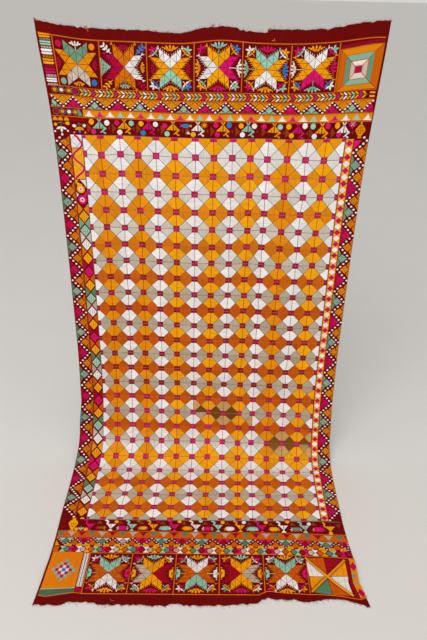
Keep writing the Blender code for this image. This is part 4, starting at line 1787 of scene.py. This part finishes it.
class PHULKARI_OT_field(Operator):
    """The field of gold and white diamonds"""

    bl_idname = "phulkari.field"
    bl_label = "Field"

    def execute(self, context):
        chart_piece("field_top", field_chart(0, 8, 51))
        chart_piece("field_middle", field_chart(8, 17, 52))
        chart_piece("field_foot", field_chart(17, 25, 53))
        return {"FINISHED"}


class PHULKARI_OT_side_borders(Operator):
    """The zigzag borders down both sides"""

    bl_idname = "phulkari.side_borders"
    bl_label = "Side borders"

    def execute(self, context):
        chart_piece("left_border", left_border())
        chart_piece("right_border", right_border())
        return {"FINISHED"}


class PHULKARI_OT_ends(Operator):
    """The embroidered bands and star squares at the head and at the foot"""

    bl_idname = "phulkari.ends"
    bl_label = "Head and foot"

    def execute(self, context):
        head = Chart(61, HEAD_SAG, HEAD_SAG_ROWS)
        head_squares(head)
        head_bands(head)
        chart_piece("head_end", head)
        foot = Chart(62, FOOT_SAG, FOOT_SAG_ROWS)
        foot_bands(foot)
        foot_squares(foot)
        loose_stitches(foot)
        chart_piece("foot_end", foot)
        return {"FINISHED"}


class PHULKARI_OT_raw_ends(Operator):
    """The frayed threads of the raw ends"""

    bl_idname = "phulkari.raw_ends"
    bl_label = "Frayed ends"

    def execute(self, context):
        thread = loose_thread()
        mesh = grown("raw_ends", thread_tree(), raw_end_threads(), Material=thread)
        finished_piece("raw_ends", mesh, thread)
        return {"FINISHED"}


class PHULKARI_OT_cotton(Operator):
    """The three sewn lengths of maroon cotton"""

    bl_idname = "phulkari.cotton"
    bl_label = "Cotton"

    def execute(self, context):
        cotton = settings()[0]
        finish = maroon_cotton(cotton.maroon, cotton.faded)
        for node, left, right in LENGTHS:
            name = node.replace("panel", "cotton")
            piece = finished_piece(name, cotton_sheet(node, left, right), finish)
            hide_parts(node)
        return {"FINISHED"}


class PHULKARI_OT_stage(Operator):
    """The pale floor, the soft light and the camera"""

    bl_idname = "phulkari.stage"
    bl_label = "Stage"

    def execute(self, context):
        stage = settings()[2]
        context.scene.view_settings.view_transform = "Standard"
        floor_stage(stage)
        soft_light(stage)
        camera(stage)
        return {"FINISHED"}


FLOOR_REACH = 45.0
FLOOR_GAP = 0.0003

# Turn and roll of the camera in radians, and the length of its film
YAW = -0.01297
ROLL = 0.02262
FILM = 36.0

# The large soft light: its place, what it points at, and its size
KEY_PLACE = (-1.3, -3.6, 2.6)
KEY_AIM = (0.0, -0.25, -1.0)
KEY_SIZE = 3.2
ROOM_COLOUR = (1.0, 0.985, 0.965, 1.0)


def floor_stage(stage):
    low = CAD_BOX[0].z - FLOOR_GAP
    corners = [(x * FLOOR_REACH, y * FLOOR_REACH, low) for x, y in box(-1, -1, 1, 1)]
    mesh = flat_mesh("floor", np.array(corners), np.array([[0, 1, 2, 3]]))
    material, nodes = new_material("pale_floor")
    place = nodes.add("ShaderNodeTexCoord", None, "Object")
    mottle = nodes.noise(place, 4.0, scale=3.0)
    colour = nodes.shaded((*stage.floor, 1), 0.98 + mottle * 0.04)
    surface(nodes, colour, 0.75, mottle, 0.0002, 0.0, 0.2)
    mesh.materials.append(material)
    floor = linked("floor", mesh)


def soft_light(stage):
    world = bpy.data.worlds.new("room")
    world.use_nodes = True
    background = world.node_tree.nodes["Background"]
    background.inputs["Color"].default_value = ROOM_COLOUR
    background.inputs["Strength"].default_value = stage.sky
    bpy.context.scene.world = world
    light = bpy.data.lights.new("key", "AREA")
    light.size = KEY_SIZE
    light.energy = stage.key_power
    key = linked("key", light)
    key.location = KEY_PLACE
    key.rotation_mode = "QUATERNION"
    key.rotation_quaternion = (Vector(KEY_AIM) - Vector(KEY_PLACE)).to_track_quat("-Z", "Y")


def camera(stage):
    """The photograph's viewpoint: tilted down on the cloth, and turned and rolled a little."""
    pitch = stage.look_down
    forward = Vector((math.sin(YAW) * math.cos(pitch), math.cos(YAW) * math.cos(pitch), -math.sin(pitch)))
    level = Vector((math.cos(YAW), -math.sin(YAW), 0.0))
    upward = level.cross(forward)
    right = math.cos(ROLL) * level + math.sin(ROLL) * upward
    up = math.cos(ROLL) * upward - math.sin(ROLL) * level
    data = bpy.data.cameras.new("camera")
    data.sensor_width = FILM
    data.lens = stage.lens
    viewer = linked("camera", data)
    axes = Matrix((right, up, -forward)).transposed().to_4x4()
    place = Matrix.Translation((stage.camera_across, -stage.camera_back, stage.camera_up))
    viewer.matrix_world = place @ axes
    bpy.context.scene.camera = viewer


OPERATORS = (
    PHULKARI_OT_field,
    PHULKARI_OT_side_borders,
    PHULKARI_OT_ends,
    PHULKARI_OT_raw_ends,
    PHULKARI_OT_cotton,
    PHULKARI_OT_stage,
)


class PHULKARI_PT_make(Panel):
    """Lists the steps that make the cloth"""

    bl_label = "Phulkari"
    bl_idname = "PHULKARI_PT_make"
    bl_space_type = "VIEW_3D"
    bl_region_type = "UI"
    bl_category = "Phulkari"

    def draw(self, context):
        for step in OPERATORS:
            self.layout.operator(step.bl_idname)
        for group in settings():
            for name in group.bl_rna.properties.keys():
                if name not in ("rna_type", "name"):
                    self.layout.prop(group, name)


GROUPS = (
    ("phulkari_cotton", PhulkariCotton), ("phulkari_floss", PhulkariFloss),
    ("phulkari_stage", PhulkariStage),
)


def register():
    for name, group in GROUPS:
        bpy.utils.register_class(group)
        setattr(bpy.types.Scene, name, PointerProperty(type=group))
    for step in (*OPERATORS, PHULKARI_PT_make):
        bpy.utils.register_class(step)


def unregister():
    for step in reversed((*OPERATORS, PHULKARI_PT_make)):
        bpy.utils.unregister_class(step)
    for name, group in GROUPS:
        delattr(bpy.types.Scene, name)
        bpy.utils.unregister_class(group)


def main():
    register()
    bpy.ops.phulkari.field()
    bpy.ops.phulkari.side_borders()
    bpy.ops.phulkari.ends()
    bpy.ops.phulkari.raw_ends()
    bpy.ops.phulkari.cotton()
    bpy.ops.phulkari.stage()


if __name__ == "__main__":
    main()
